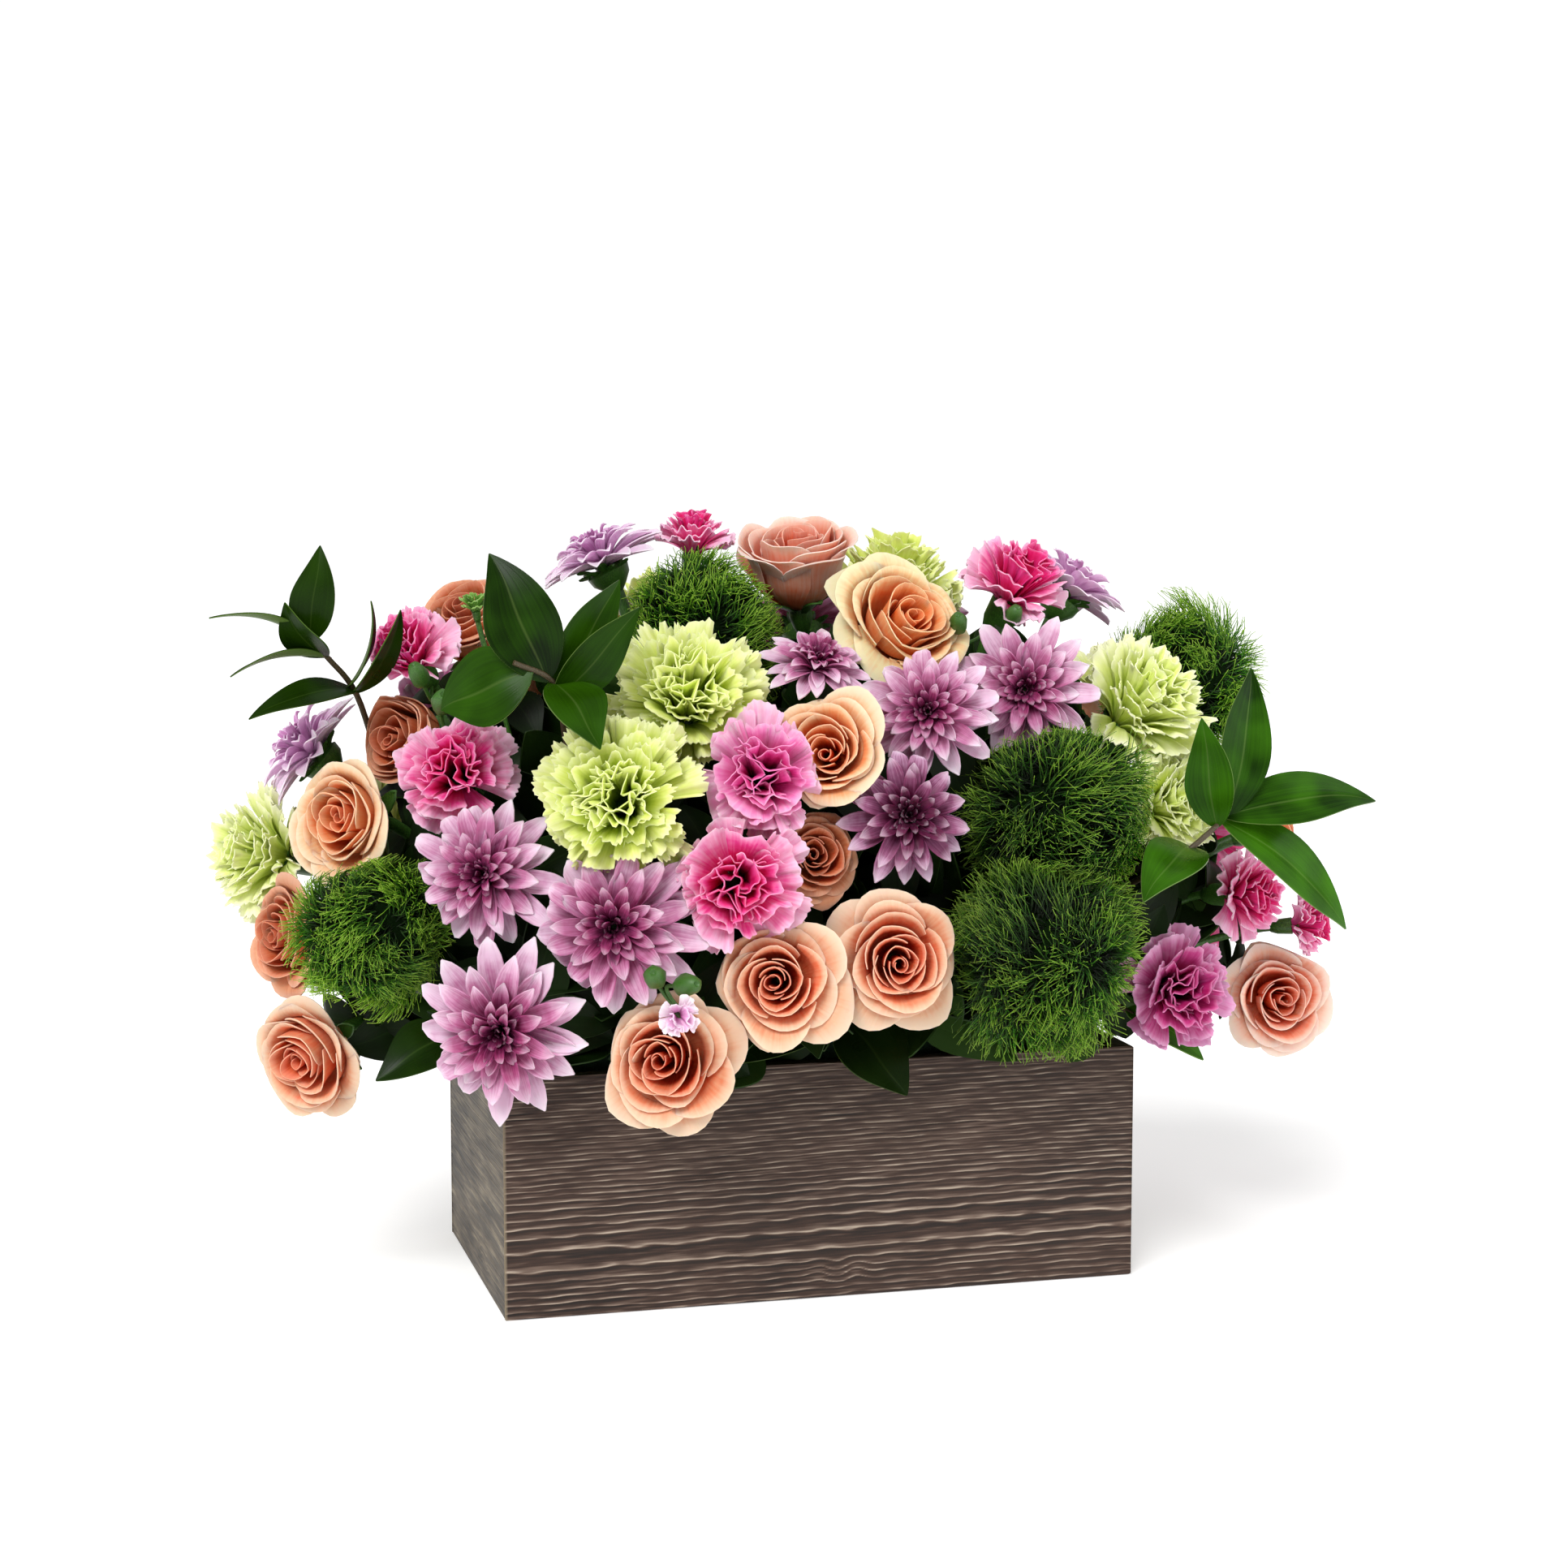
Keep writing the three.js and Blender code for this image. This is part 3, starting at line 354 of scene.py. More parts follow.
def board_piece(name, length, material, turn, corner_shows, bold=1.0):
    """A mitred board whose outer face is a fine relief, turned about the box's middle."""
    rng = seeded(name)
    columns = np.linspace(-1, 1, int(length / GRAIN_ALONG) + 1)
    face_up = np.linspace(EDGE_ROUND, BOX_HEIGHT - EDGE_ROUND, int(BOX_HEIGHT / GRAIN_ACROSS))
    height = np.concatenate([[0], face_up, [BOX_HEIGHT, BOX_HEIGHT, 0]])
    inward = np.concatenate([[EDGE_ROUND], np.zeros(len(face_up)), [EDGE_ROUND, BOARD, BOARD]])
    s, h = np.meshgrid(columns, height)
    deep = np.repeat(inward[:, None], len(columns), 1)
    along = s * (length / 2 - deep)
    raised = grain(along, h, rng, bold)
    on_face = (deep == 0) & (np.abs(s) < 1)
    valley = np.where(on_face, (1 - raised) * GRAIN_DEPTH, 0)
    deep = deep + valley * np.clip(length / 2 - np.abs(along), 0, 1)
    half = BOX_DEPTH / 2 if length == BOX_LENGTH else BOX_LENGTH / 2
    turned = spun(along, deep - half, h, turn)
    rows, across = h.shape
    index = np.arange(rows * across).reshape(rows, across)
    below, above = index, np.roll(index, -1, 0)
    quads = np.stack([below[:, :-1], below[:, 1:], above[:, 1:], above[:, :-1]], -1).reshape(-1, 4)
    ends = [index[::-1, 0][None, :], index[:, -1][None, :]]
    near_corner = length / 2 - np.abs(along) < CORNER_LINE
    corner = near_corner & (np.sign(along) == corner_shows) & (deep < 1)
    marks = {"grain": raised.ravel(), "corner": corner.astype(float).ravel()}
    faces = [quads, *ends]
    lay_piece(name + "_relief", turned.reshape(-1, 3), faces, material, "woodgrain", [name], marks)


board_piece("box_front_board", BOX_LENGTH, front_wood, 0, -1)
board_piece("box_back_board", BOX_LENGTH, front_wood, math.pi, 1)
board_piece("box_left_board", BOX_DEPTH, side_wood_painted_lighter, -math.pi / 2, 0, SIDE_BOLD)
board_piece("box_right_board", BOX_DEPTH, side_wood_painted_lighter, math.pi / 2, 0, SIDE_BOLD)


def dress(node, finish):
    """A surface for a piece that keeps its own solid."""
    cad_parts[node].data.materials.clear()
    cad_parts[node].data.materials.append(finish)


base_fibre = mottled_finish("base_board_fibre", 900, 4, [(0.3, "4A3C30"), (0.7, "6E5B48")], 0.85)
dress("box_base_board", base_fibre)

# ---------------------------------------------------------------- the liner and the wet foam
# A thin dark plastic liner keeps the water in. The brick of green wet foam in it stands proud of
# the box, and every stem is pushed into it. Both keep their solids and only get their surfaces.
dress("liner", mottled_finish(
    "liner_plastic", 120, 5, [(0.35, "15181A"), (0.7, "262A2B")], (0.32, 0.5), bump=(0.1, 0.0002),
))
foam_green, shader, add = new_finish("wet_foam_green")
# The pores are darker than the foam round them: painted shade in the dents that the bump makes.
pores = add("ShaderNodeTexVoronoi", {"Scale": 900})
foam_tone = ramp(add, noise(add, 60, 4), [(0.3, "16301C"), (0.7, "28492D")])
feed(shader, {
    "Base Color": blend(add, ranged(add, pores, 0.0, 0.5), "0B1A0E", foam_tone), "Roughness": 0.95,
    "Normal": bumped(add, pores, 0.8, 0.0006),
})
dress("foam_brick", foam_green)

# ---------------------------------------------------------------- ruscus
# Cut stems of florist's ruscus: thin dark stems with stiff, glossy, pointed leaves, finely lined
# along their length and paler underneath. Each stem stands in the foam. The leaves taper to a tip.
RUSCUS = {  # the stem's corners, its branches, then each leaf: root, tip, half width, upper side
    "ruscus_left": dict(
        stem=[
            (-84, 4, 92), (-128, 2, 150), (-150, 12, 190), (-163, -8, 222), (-174, -18, 236),
            (-182, -22, 244),
        ],
        branches=[[(-110, 2, 122), (-116, -8, 109), (-126, -44, 105), (-136, -64, 106)]],
        leaves=[
            ((-181, -22, 243), (-177, -26, 277), 8, (-0.2, -0.95, 0.1)),
            ((-176, -19, 237), (-191, -30, 257), 8.5, (-0.5, -0.6, -0.6)),
            ((-181, -22, 243), (-217, -32, 252), 5, (0.2, 0.2, 0.95)),
            ((-174, -18, 236), (-210, -30, 231), 5, (0.1, 0.3, 0.95)),
            ((-163, -12, 222), (-204, -34, 216), 6.5, (-0.3, -0.75, 0.65)),
            ((-165, -13, 226), (-159, -22, 257), 5, (0.85, -0.3, 0.2)),
            ((-163, -12, 222), (-150, -32, 254), 6.5, (0.55, -0.8, 0.1)),
            ((-136, -64, 106), (-166, -72, 92), 10, (-0.3, -0.8, 0.5)),
        ],
    ),
    "ruscus_centre": dict(
        tint="middling",
        stem=[(-52, -8, 84), (-84, -50, 170), (-96, -64, 208), (-103, -80, 230), (-118, -84, 238)],
        leaves=[
            ((-106, -80, 232), (-124, -72, 275), 13, (-0.2, -0.93, 0.3)),
            ((-102, -78, 229), (-80, -78, 266), 9, (0.3, -0.85, 0.45)),
            ((-101, -76, 226), (-75, -89, 257), 8.5, (0.45, -0.8, 0.4)),
            ((-112, -83, 234), (-140, -64, 220), 14, (-0.3, -0.9, 0.3)),
            ((-103, -81, 229), (-92, -103, 209), 11, (0.1, -0.7, 0.7)),
        ],
    ),
    "ruscus_right": dict(
        tint="fresh",
        stem=[(76, -14, 92), (116, -42, 140), (123, -88, 160), (136, -92, 171), (145, -88, 177)],
        branches=[[(84, -18, 102), (106, -56, 107), (118, -68, 101)]],
        leaves=[
            ((145, -88, 177), (158, -78, 231), 10.5, (0.1, -0.97, 0.1)),
            ((141, -90, 174), (134, -92, 214), 9, (-0.5, -0.85, 0.1)),
            ((145, -88, 177), (207, -84, 181), 11, (0.05, -0.75, 0.65)),
            ((143, -88, 175), (196, -84, 132), 11.5, (0.2, -0.8, 0.55)),
            ((130, -91, 166), (97, -129, 153), 11, (-0.2, -0.7, 0.65)),
            ((118, -64, 101), (143, -76, 84), 8, (0.2, -0.75, 0.6)),
        ],
    ),
    "ruscus_front": dict(
        # a darker copy of the leaf skin: painted shade on the front leaves
        tint="deep",
        stem=[(2, -42, 104), (2, -62, 106), (5, -76, 104)],
        leaves=[
            ((0, -72, 104), (21, -92, 80), 14, (0.1, -0.9, 0.35)),
            ((0, -64, 106), (-46, -78, 92), 9, (-0.1, -0.85, 0.5)),
        ],
    ),
    "ruscus_back": dict(
        tint="middling",
        stem=[(34, 8, 84), (44, 46, 160), (52, 74, 196), (60, 98, 214)],
        branches=[[(38, 22, 114), (20, 74, 106), (30, 84, 98)]],
        leaves=[
            ((60, 98, 214), (84, 104, 252), 11, (0.1, 0.95, 0.3)),
            ((58, 92, 209), (24, 118, 232), 11, (-0.2, 0.85, 0.5)),
            ((57, 88, 206), (92, 122, 190), 11, (0.3, 0.85, 0.4)),
            ((54, 80, 200), (32, 124, 168), 10, (-0.2, 0.85, 0.4)),
            ((30, 84, 98), (26, 104, 76), 12, (0, 0.9, 0.4)),
        ],
    ),
}
RUSCUS_STEM = 1.3
LEAF_ROOT = 1.2  # how far a leaf's end goes into its stem
LEAF_THICK = 0.55
LEAF_FOLD = 0.22  # how far the two halves are folded up along the rib
LEAF_ARCH = 0.1
ROD_SIDES = 8


def unit(a):
    a = np.asarray(a, float)
    return a / np.maximum(np.linalg.norm(a, axis=-1, keepdims=True), 1e-9)


def rounded_path(corners, per_step=6):
    """A smooth line through the corners."""
    p = np.asarray(corners, float)
    p = np.vstack([2 * p[0] - p[1], p, 2 * p[-1] - p[-2]])
    found = []
    for a, b, c, d in zip(p, p[1:], p[2:], p[3:]):
        for t in np.linspace(0, 1, per_step, endpoint=False):
            bend = (2 * a - 5 * b + 4 * c - d) * t**2 + (3 * b - a - 3 * c + d) * t**3
            found.append(0.5 * (2 * b + (c - a) * t + bend))
    return np.array([*found, p[-2]])


def tube_faces(count, rings, sides):
    """The faces of closed tubes whose points run tube by tube and ring by ring."""
    index = np.arange(count * rings * sides).reshape(count, rings, sides)
    nxt = np.roll(index, -1, 2)
    quads = np.stack([index[:, :-1], nxt[:, :-1], nxt[:, 1:], index[:, 1:]], -1).reshape(-1, 4)
    return [quads, np.concatenate([index[:, 0, ::-1], index[:, -1]])]


def rod(path, radii):
    """A closed round rod along a path."""
    path = np.asarray(path, float)
    radii = np.broadcast_to(radii, len(path))
    along = unit(np.gradient(path, axis=0))
    side = unit(np.cross(along, (0.31, 0.27, 0.91)))
    up = np.cross(along, side)
    a = np.linspace(0, 2 * math.pi, ROD_SIDES, endpoint=False)
    ring = side[:, None] * np.cos(a)[None, :, None] + up[:, None] * np.sin(a)[None, :, None]
    points = (path[:, None] + ring * radii[:, None, None]).reshape(-1, 3)
    return points, tube_faces(1, len(path), ROD_SIDES)


def shell(sheets, thick):
    """Thin closed leaves or petals from grids of points (count, along, across, 3)."""
    count, rows, columns = sheets.shape[:3]
    du = np.gradient(sheets, axis=2)
    dv = np.gradient(sheets, axis=1)
    normal = unit(np.cross(du, dv))
    points = np.stack([sheets + normal * thick / 2, sheets - normal * thick / 2], 1).reshape(-1, 3)
    grid = np.arange(rows * columns).reshape(rows, columns)
    a, b, c, d = grid[:-1, :-1], grid[:-1, 1:], grid[1:, 1:], grid[1:, :-1]
    under = rows * columns
    front = np.stack([a, b, c, d], -1).reshape(-1, 4)
    back = np.stack([a, d, c, b], -1).reshape(-1, 4) + under
    loop = np.concatenate([grid[0], grid[1:, -1], grid[-1, -2::-1], grid[-2:0:-1, 0]])
    after = np.roll(loop, -1)
    rim = np.stack([after, loop, loop + under, after + under], -1)
    one = np.concatenate([front, back, rim])
    faces = (one[None] + (np.arange(count) * 2 * under)[:, None, None]).reshape(-1, 4)
    return points, [faces]


def joined(parts):
    """Several (points, faces) in one."""
    points, faces, start = [], {}, 0
    for own_points, own_faces in parts:
        for f in own_faces:
            faces.setdefault(len(f[0]), []).append(np.asarray(f) + start)
        points.append(own_points)
        start += len(own_points)
    return np.concatenate(points), [np.concatenate(f) for f in faces.values()]


def nearest_on(paths, point):
    best = None
    for path in paths:
        for a, b in zip(np.array(path, float), np.array(path[1:], float)):
            t = np.clip(np.dot(point - a, b - a) / np.dot(b - a, b - a), 0, 1)
            at = a + t * (b - a)
            if best is None or np.linalg.norm(at - point) < np.linalg.norm(best - point):
                best = at
    return best


def sheet_steps(rows, columns):
    """From 0 to 1 along a leaf or a petal, and from -1 to 1 across it."""
    return np.linspace(0, 1, rows)[:, None], np.linspace(-1, 1, columns)[None, :]


def leaf_grid(start, tip, half, up, seed, along_steps=19, across_steps=9):
    """A pointed leaf as one grid of points, from its root to its tip."""
    rng = seeded(seed)
    start, tip = np.asarray(start, float), np.asarray(tip, float)
    length = np.linalg.norm(tip - start)
    along = (tip - start) / length
    up = unit(np.asarray(up, float) - np.dot(up, along) * along)
    side = np.cross(along, up)
    t, u = sheet_steps(along_steps, across_steps)
    wide = half * (np.sin(math.pi * t**0.85) ** 0.85 * (1 - 0.25 * t**3) + 0.02)
    arch = LEAF_ARCH * length * 4 * t * (1 - t)
    bend = half * 0.07 * np.sin(2 * math.pi * (1.3 * t + rng.uniform())) * t
    lift = arch + LEAF_FOLD * wide * np.abs(u) ** 1.25
    lift = lift + 0.05 * wide * u * np.sin(5 * t + rng.uniform(0, 6))
    place = start + along * (t * length)[..., None] + side * (u * wide + bend)[..., None]
    return place + up * lift[..., None]


def marked(add, attribute):
    """A skin's three marks, its draw, a place made of them for its lines, and its real place."""
    marks = add("ShaderNodeAttribute", {}, "Color", attribute_name=attribute)
    three = add("ShaderNodeSeparateColor", {0: marks}).node.outputs
    draw = marks.node.outputs["Alpha"]
    place = add("ShaderNodeCombineXYZ", {0: three[0], 1: three[1], 2: draw})
    return *three, draw, place, add("ShaderNodeTexCoord", {}, "Object")


def leaf_finish(name, dark, light, pale, vein_strength, rough, shine):
    """Leaf skin: fine lines along the blade, a lighter rib, blotches, and a paler underside."""
    material, shader, add = new_finish(name)
    across, _, under, draw, place, spot = marked(add, "blade")
    veins = stretched_noise(add, place, (30, 0.8, 40), 1.5)
    blotch = noise(add, 70, 1, spot)
    tone = swayed(add, noise_to(add, blotch, 0.3, 0.6), veins, 0.12)
    tone = maths(add, "MULTIPLY_ADD", ranged(add, draw, 0, 1, -0.5, 0.5), 0.32, tone)
    colour = ramp(add, tone, [(0.15, dark), (0.8, light)])
    rib = maths(add, "ABSOLUTE", maths(add, "SUBTRACT", across, 0.5))
    colour = blend(add, ranged(add, rib, 0.0, 0.03, 0.14, 0.0), colour, pale)
    feed(shader, {
        "Base Color": blend(add, ranged(add, under, 0, 1, 0, 0.7), colour, pale),
        "Roughness": noise_to(add, blotch, rough - 0.06, rough + 0.1),
        "Specular IOR Level": shine, "Normal": bumped(add, veins, vein_strength, 0.0004),
    })
    return material


def skin_marks(sheets, seed, third, behind=None):
    """A skin's marks: across, along, a third that may differ behind, and each sheet's own draw."""
    count, rows, columns = sheets.shape[:3]
    draw = seeded(seed).uniform(size=(count, 1, 1))
    fields = (np.linspace(0, 1, columns), np.linspace(0, 1, rows)[:, None], third, draw)
    fronts = np.stack([np.broadcast_to(f, (count, rows, columns)) for f in fields], -1)
    backs = fronts.copy()
    if behind is not None:
        backs[..., 2] = behind
    return np.stack([fronts, backs], 1).reshape(-1, 4)


def lay_leaves(name, seed, sheets, thick, finish, takes=()):
    """A piece of leaves, from their grids of points."""
    sheets = np.array(sheets)
    marks = {"blade": skin_marks(sheets, seed, 0.0, 1.0)}
    lay_piece(name, *shell(sheets, thick), finish, "ruscus_leaf", takes, marks)


RUSCUS_FINISHES = {
    # The deep copy, on the front leaves, is painted shade: the same leaf, darker.
    "deep": leaf_finish("ruscus_leaf_deep_painted_shade", "060D02", "152608", "4A6028", 0.1, 0.26, 0.08),
    "dark": leaf_finish("ruscus_leaf_dark", "081502", "1C3602", "5C7834", 0.1, 0.26, 0.08),
    "middling": leaf_finish("ruscus_leaf_middling", "0A1A02", "274C03", "7E9650", 0.1, 0.26, 0.09),
    "fresh": leaf_finish("ruscus_leaf_fresh", "0E2602", "386C08", "8CA85C", 0.1, 0.26, 0.08),
}
ruscus_bark = mottled_finish(
    "ruscus_stem_bark", 260, 3, [(0.3, "2B2418"), (0.55, "45391F"), (0.75, "6C5A4A")], 0.5,
    bump=(0.3, 0.0003),
)

leaf_points = []  # what the flowers beside a leaf bend away from
for node, plant in RUSCUS.items():
    stem = plant["stem"]
    paths = [stem, *([nearest_on([stem], path[0]), *path[1:]] for path in plant.get("branches", ()))]
    sheets = []
    for i, (base, tip, half, up) in enumerate(plant["leaves"]):
        root = nearest_on(paths, base)
        start = root + LEAF_ROOT * unit(root - tip)
        sheets.append(leaf_grid(start, tip, half, up, f"{node}_{i}"))
    leaf_points.append(np.array(sheets)[:, ::3, ::2].reshape(-1, 3))
    finish = RUSCUS_FINISHES[plant.get("tint", "dark")]
    lay_leaves(node + "_leaves", node, sheets, LEAF_THICK, finish, [node])
    rods = []
    for path in paths:
        line = rounded_path(path)
        leaf_points.append(line)
        rods.append(rod(line, np.linspace(RUSCUS_STEM, RUSCUS_STEM * 0.75, len(line))))
    lay_piece(node + "_stems", *joined(rods), ruscus_bark, "ruscus_leaf", [node])
leaf_points = np.concatenate(leaf_points)

# ---------------------------------------------------------------- flower stems
# Every flower stands in the foam on its own green stem. A spray's stem forks above the foam and
# carries two or more heads. Under each head sits the green cup that its petals grow from.
FLOWERS = {  # a node's heads: where, facing which way, radius, then tint and how far closed
    "rose_top": [((4, -4, 270), (-0.18, -0.3, 0.93), 27, "salmon", 0.85)],
    "rose_cream": [((32, -50, 249), (0.15, -0.8, 0.55), 32, "cream")],
    "rose_middle": [((-8, -92, 206), (-0.35, -0.87, 0.35), 24, "apricot")],
    "rose_tucked": [((-12, -92, 168), (0, -0.97, 0.2), 20, "coral")],
    "rose_front_spray": [
        ((13, -110, 134), (-0.15, -0.97, 0.2), 27), ((-30, -110, 127), (-0.25, -0.95, 0.1), 26.5),
        ((-69, -106, 101), (-0.35, -0.92, 0.05), 27),
    ],
    "rose_right": [((191, -34, 98), (-0.12, -0.98, 0.12), 25, "salmon")],
    "rose_right_high": [((196, -18, 163), (0.9, -0.35, 0.3), 21, "coral", 0.3)],
    "rose_left_high": [((-170, -30, 178), (-0.72, -0.68, 0.1), 26, "apricot", 0.35)],
    "rose_left_tucked": [((-146, -8, 206), (-0.8, -0.55, 0.25), 21, "coral", 0.8)],
    "rose_left_low": [((-183, -16, 91), (-0.65, -0.7, -0.3), 26, "peach", 0.2)],
    "rose_left_back": [((-188, -8, 134), (-0.9, -0.42, 0), 24, "coral", 0.5)],
    "rose_under_leaves": [((-119, 10, 247), (-0.5, -0.45, 0.75), 23, "coral", 0.6)],
    "carnation_upper": [((-52, -64, 221), (-0.15, -0.88, 0.45), 33.5)],
    "carnation_front": [((-82, -89, 189), (-0.35, -0.9, 0.25), 35)],
    "carnation_right": [((126, -46, 214), (0.3, -0.75, 0.55), 33, "pale_lime")],
    "carnation_right_low": [((132, -61, 178), (0.35, -0.9, 0.2), 25, "pale_lime")],
    "carnation_left": [((-193, 28, 160), (-0.85, -0.42, 0.25), 28, "pale_lime")],
    "carnation_top": [((49, 18, 256), (0.1, -0.1, 0.98), 32)],
    "trick_top": [((-35, -16, 243), (-0.1, -0.4, 0.9), 36)],
    # the two front right balls take a darker copy of the bristle skin: painted shade
    "trick_right_upper": [((82, -84, 180), (0.2, -0.95, 0.25), 38, "deep")],
    "trick_right_lower": [((68, -104, 132), (0.15, -0.98, 0), 37, "deep")],
    "trick_left": [((-163, -46, 141), (-0.6, -0.8, 0), 33)],
    "trick_right_back": [((165, 6, 219), (0.7, -0.2, 0.7), 38)],
    "mum_left_spray": [
        ((-86, -98, 147), (-0.25, -0.95, 0.12), 36), ((-126, -74, 163), (-0.45, -0.85, 0.2), 31),
        ((-124, -90, 112), (-0.35, -0.93, -0.05), 35),
    ],
    "mum_right_spray": [
        ((33, -80, 217), (-0.35, -0.9, 0.2), 28), ((19, -98, 182), (-0.1, -0.97, 0.2), 27, "dark"),
        ((75, -64, 223), (-0.3, -0.92, 0.2), 30),
    ],
    "mum_tucked": [((-5, -66, 233), (0, -0.6, 0.8), 22)],
    "mum_top": [((-66, 17, 269), (-0.45, 0.05, 0.9), 28, "pale")],
    "mum_right_back": [((115, 2, 256), (0.5, 0.05, 0.85), 28, "pale")],
    "mum_left_back": [((-177, 16, 199), (-0.75, 0.05, 0.6), 28, "pale")],
    "mini_left_spray": [
        ((-133, -49, 196), (-0.25, -0.9, 0.3), 25), ((-144, -12, 237), (-0.5, -0.6, 0.6), 21),
        ((-122, -26, 255), (-0.2, -0.3, 0.9), 7, "bud_green"),
    ],
    "mini_centre_spray": [
        ((-45, -106, 162), (-0.15, -0.98, 0.05), 28), ((-33, -95, 197), (-0.2, -0.95, 0.25), 27, "mauve"),
        ((-71, -131, 121), (-0.1, -0.97, 0.05), 9, "blush"),
    ],
    "mini_right_spray": [
        ((126, -86, 113), (0.1, -0.97, 0.05), 25, "wine"), ((172, -44, 141), (0.5, -0.85, 0.1), 20),
        ((203, -32, 126), (0.85, -0.5, 0.1), 14),
    ],
    "mini_right_top": [((82, -32, 260), (0.25, -0.6, 0.78), 23)],
    "mini_top": [((-33, 8, 277), (0.05, 0, 1), 16)],
    "rose_back_left_spray": [
        ((-86, 98, 119), (-0.25, 0.95, 0.1), 27), ((-136, 76, 105), (-0.55, 0.82, -0.05), 27),
    ],
    "rose_back_right_spray": [
        ((58, 106, 105), (0.1, 0.98, -0.1), 27), ((108, 92, 117), (0.35, 0.92, 0.05), 27),
    ],
    "rose_back_high": [((-80, 64, 220), (-0.3, 0.75, 0.6), 27)],
    "rose_back_high_right": [
        ((104, 58, 220), (0.35, 0.7, 0.6), 27), ((142, 52, 194), (0.6, 0.75, 0.3), 25),
    ],
    "carnation_back_left": [((-150, 52, 158), (-0.65, 0.75, 0.1), 33)],
    "carnation_back_middle": [((22, 98, 174), (0.05, 0.95, 0.3), 33)],
    "carnation_back_top": [((-34, 62, 238), (-0.1, 0.7, 0.7), 33)],
    "trick_back_left": [((-92, 82, 166), (-0.35, 0.9, 0.3), 37)],
    "trick_back_right": [((84, 84, 166), (0.3, 0.92, 0.25), 38)],
    "mum_back_spray": [
        ((10, 109, 126), (0, 0.98, 0.1), 32), ((-40, 104, 106), (-0.1, 0.98, -0.1), 32),
        ((-30, 98, 166), (-0.1, 0.95, 0.3), 32),
    ],
    "mum_back_left": [((-128, 48, 206), (-0.5, 0.65, 0.5), 31)],
    "mum_back_high": [((24, 60, 242), (0.05, 0.65, 0.75), 29), ((66, 54, 238), (0.2, 0.65, 0.72), 29)],
    "mini_back_spray": [
        ((146, 70, 108), (0.5, 0.85, 0), 25), ((180, 34, 120), (0.9, 0.45, 0), 25),
        ((142, 68, 150), (0.6, 0.8, 0.15), 25), ((186, 20, 160), (0.95, 0.25, 0.15), 24),
    ],
}
STEM = {"rose": 2.0, "mum": 1.9, "carnation": 2.0, "mini": 1.4, "trick": 2.0}
NECK = {"rose": 0.66, "mum": 0.42, "carnation": 0.85, "mini": 0.9, "trick": 0.7}
CUP = {  # half profile of the green cup under a head, as (how far down, how wide) parts of its radius
    "rose": [(0.7, 0.08), (0.64, 0.13), (0.55, 0.17), (0.46, 0.16), (0.4, 0.1)],
    "mum": [(0.46, 0.07), (0.38, 0.16), (0.26, 0.27), (0.14, 0.3), (0.08, 0.2)],
    "carnation": [(0.9, 0.07), (0.85, 0.14), (0.7, 0.19), (0.45, 0.2), (0.3, 0.21), (0.24, 0.12)],
    "mini": [(0.96, 0.07), (0.9, 0.15), (0.72, 0.21), (0.45, 0.23), (0.3, 0.24), (0.24, 0.12)],
    "trick": [(0.76, 0.07), (0.7, 0.12), (0.6, 0.16), (0.5, 0.12)],
}
SEPALS = {  # count, length, half width and how far down they start and reach
    "rose": (5, 0.62, 0.12, 0.5, 0.34),
    "mum": (12, 0.34, 0.06, 0.2, 0.04),
    "carnation": (5, 0.2, 0.09, 0.32, 0.16),
    "mini": (5, 0.24, 0.1, 0.32, 0.14),
    "trick": (6, 0.3, 0.08, 0.56, 0.4),
}
CLOSED_TALL = 1.7  # how much taller than a full bloom a closed one is
FOAM_HALF = (108, 51.5)
FOAM_TOP = 112
BOX_HALF = (BOX_LENGTH / 2, BOX_DEPTH / 2)
BOUQUET_CORE = (0, 10, 130)  # heads farther out from here lie over the ones nearer in
SMALL_BUD = 10  # a head of a smaller radius is a bud, on a thinner stem
BUD_STEM = 0.6  # a bud's stem and a spray's main stem, beside the stem of a bloom
SPRAY_STEM = 1.05
FOOT = 6  # how much of a stem's end is measured for where it stands
FORK_CLEAR = 3  # how far outside the foam a spray's stem forks
STEM_WIDER = 1.25  # how much thicker a stem is under the head than at its foot
OVERLAP = 0.14  # how far an outer head may lie over its neighbour, as a part of both radii
LEAF_CLEAR = 0.2  # how far petals keep off a ruscus leaf, and off the box and the foam
BOX_CLEAR = 0.5
SEPAL_THICK = 0.7
SOFT_FROM = 0.8  # where petals begin to bend away from a neighbour
TOUCH = 3.5  # how far the petals of two neighbours reach in among each other


def tall(head):
    return 1 + (CLOSED_TALL - 1) * head.get("closed", 0)


heads = []
for node, group in FLOWERS.items():
    for i, entry in enumerate(group):
        head = dict(zip(("at", "face", "size", "tint", "closed"), entry))
        head.update(node=node, name=f"{node}_{i}", kind=node.split("_")[0])
        head["centre"], head["axis"] = np.array(head["at"], float), unit(head["face"])
        head["neck"] = head["centre"] - head["axis"] * NECK[head["kind"]] * tall(head) * head["size"]
        head["bend"] = head["neck"] - head["axis"] * 0.5 * head["size"]
        heads.append(head)


def foot_in_foam(node):
    """Where a node's stem ends in the foam: the middle of its solid's lowest ring."""
    points = np.array([v.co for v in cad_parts[node].data.vertices]) / MM
    inside = np.all(np.abs(points[:, :2]) < FOAM_HALF, axis=1) & (points[:, 2] < FOAM_TOP)
    found = points[inside]
    return np.unique(np.round(found[found[:, 2] < found[:, 2].min() + FOOT], 2), axis=0).mean(0)


def facing(axis):
    """Two directions square to an axis, and the axis itself."""
    side = unit(np.cross(axis, (0.21, 0.13, 0.97)))
    return np.stack([side, np.cross(axis, side), axis])


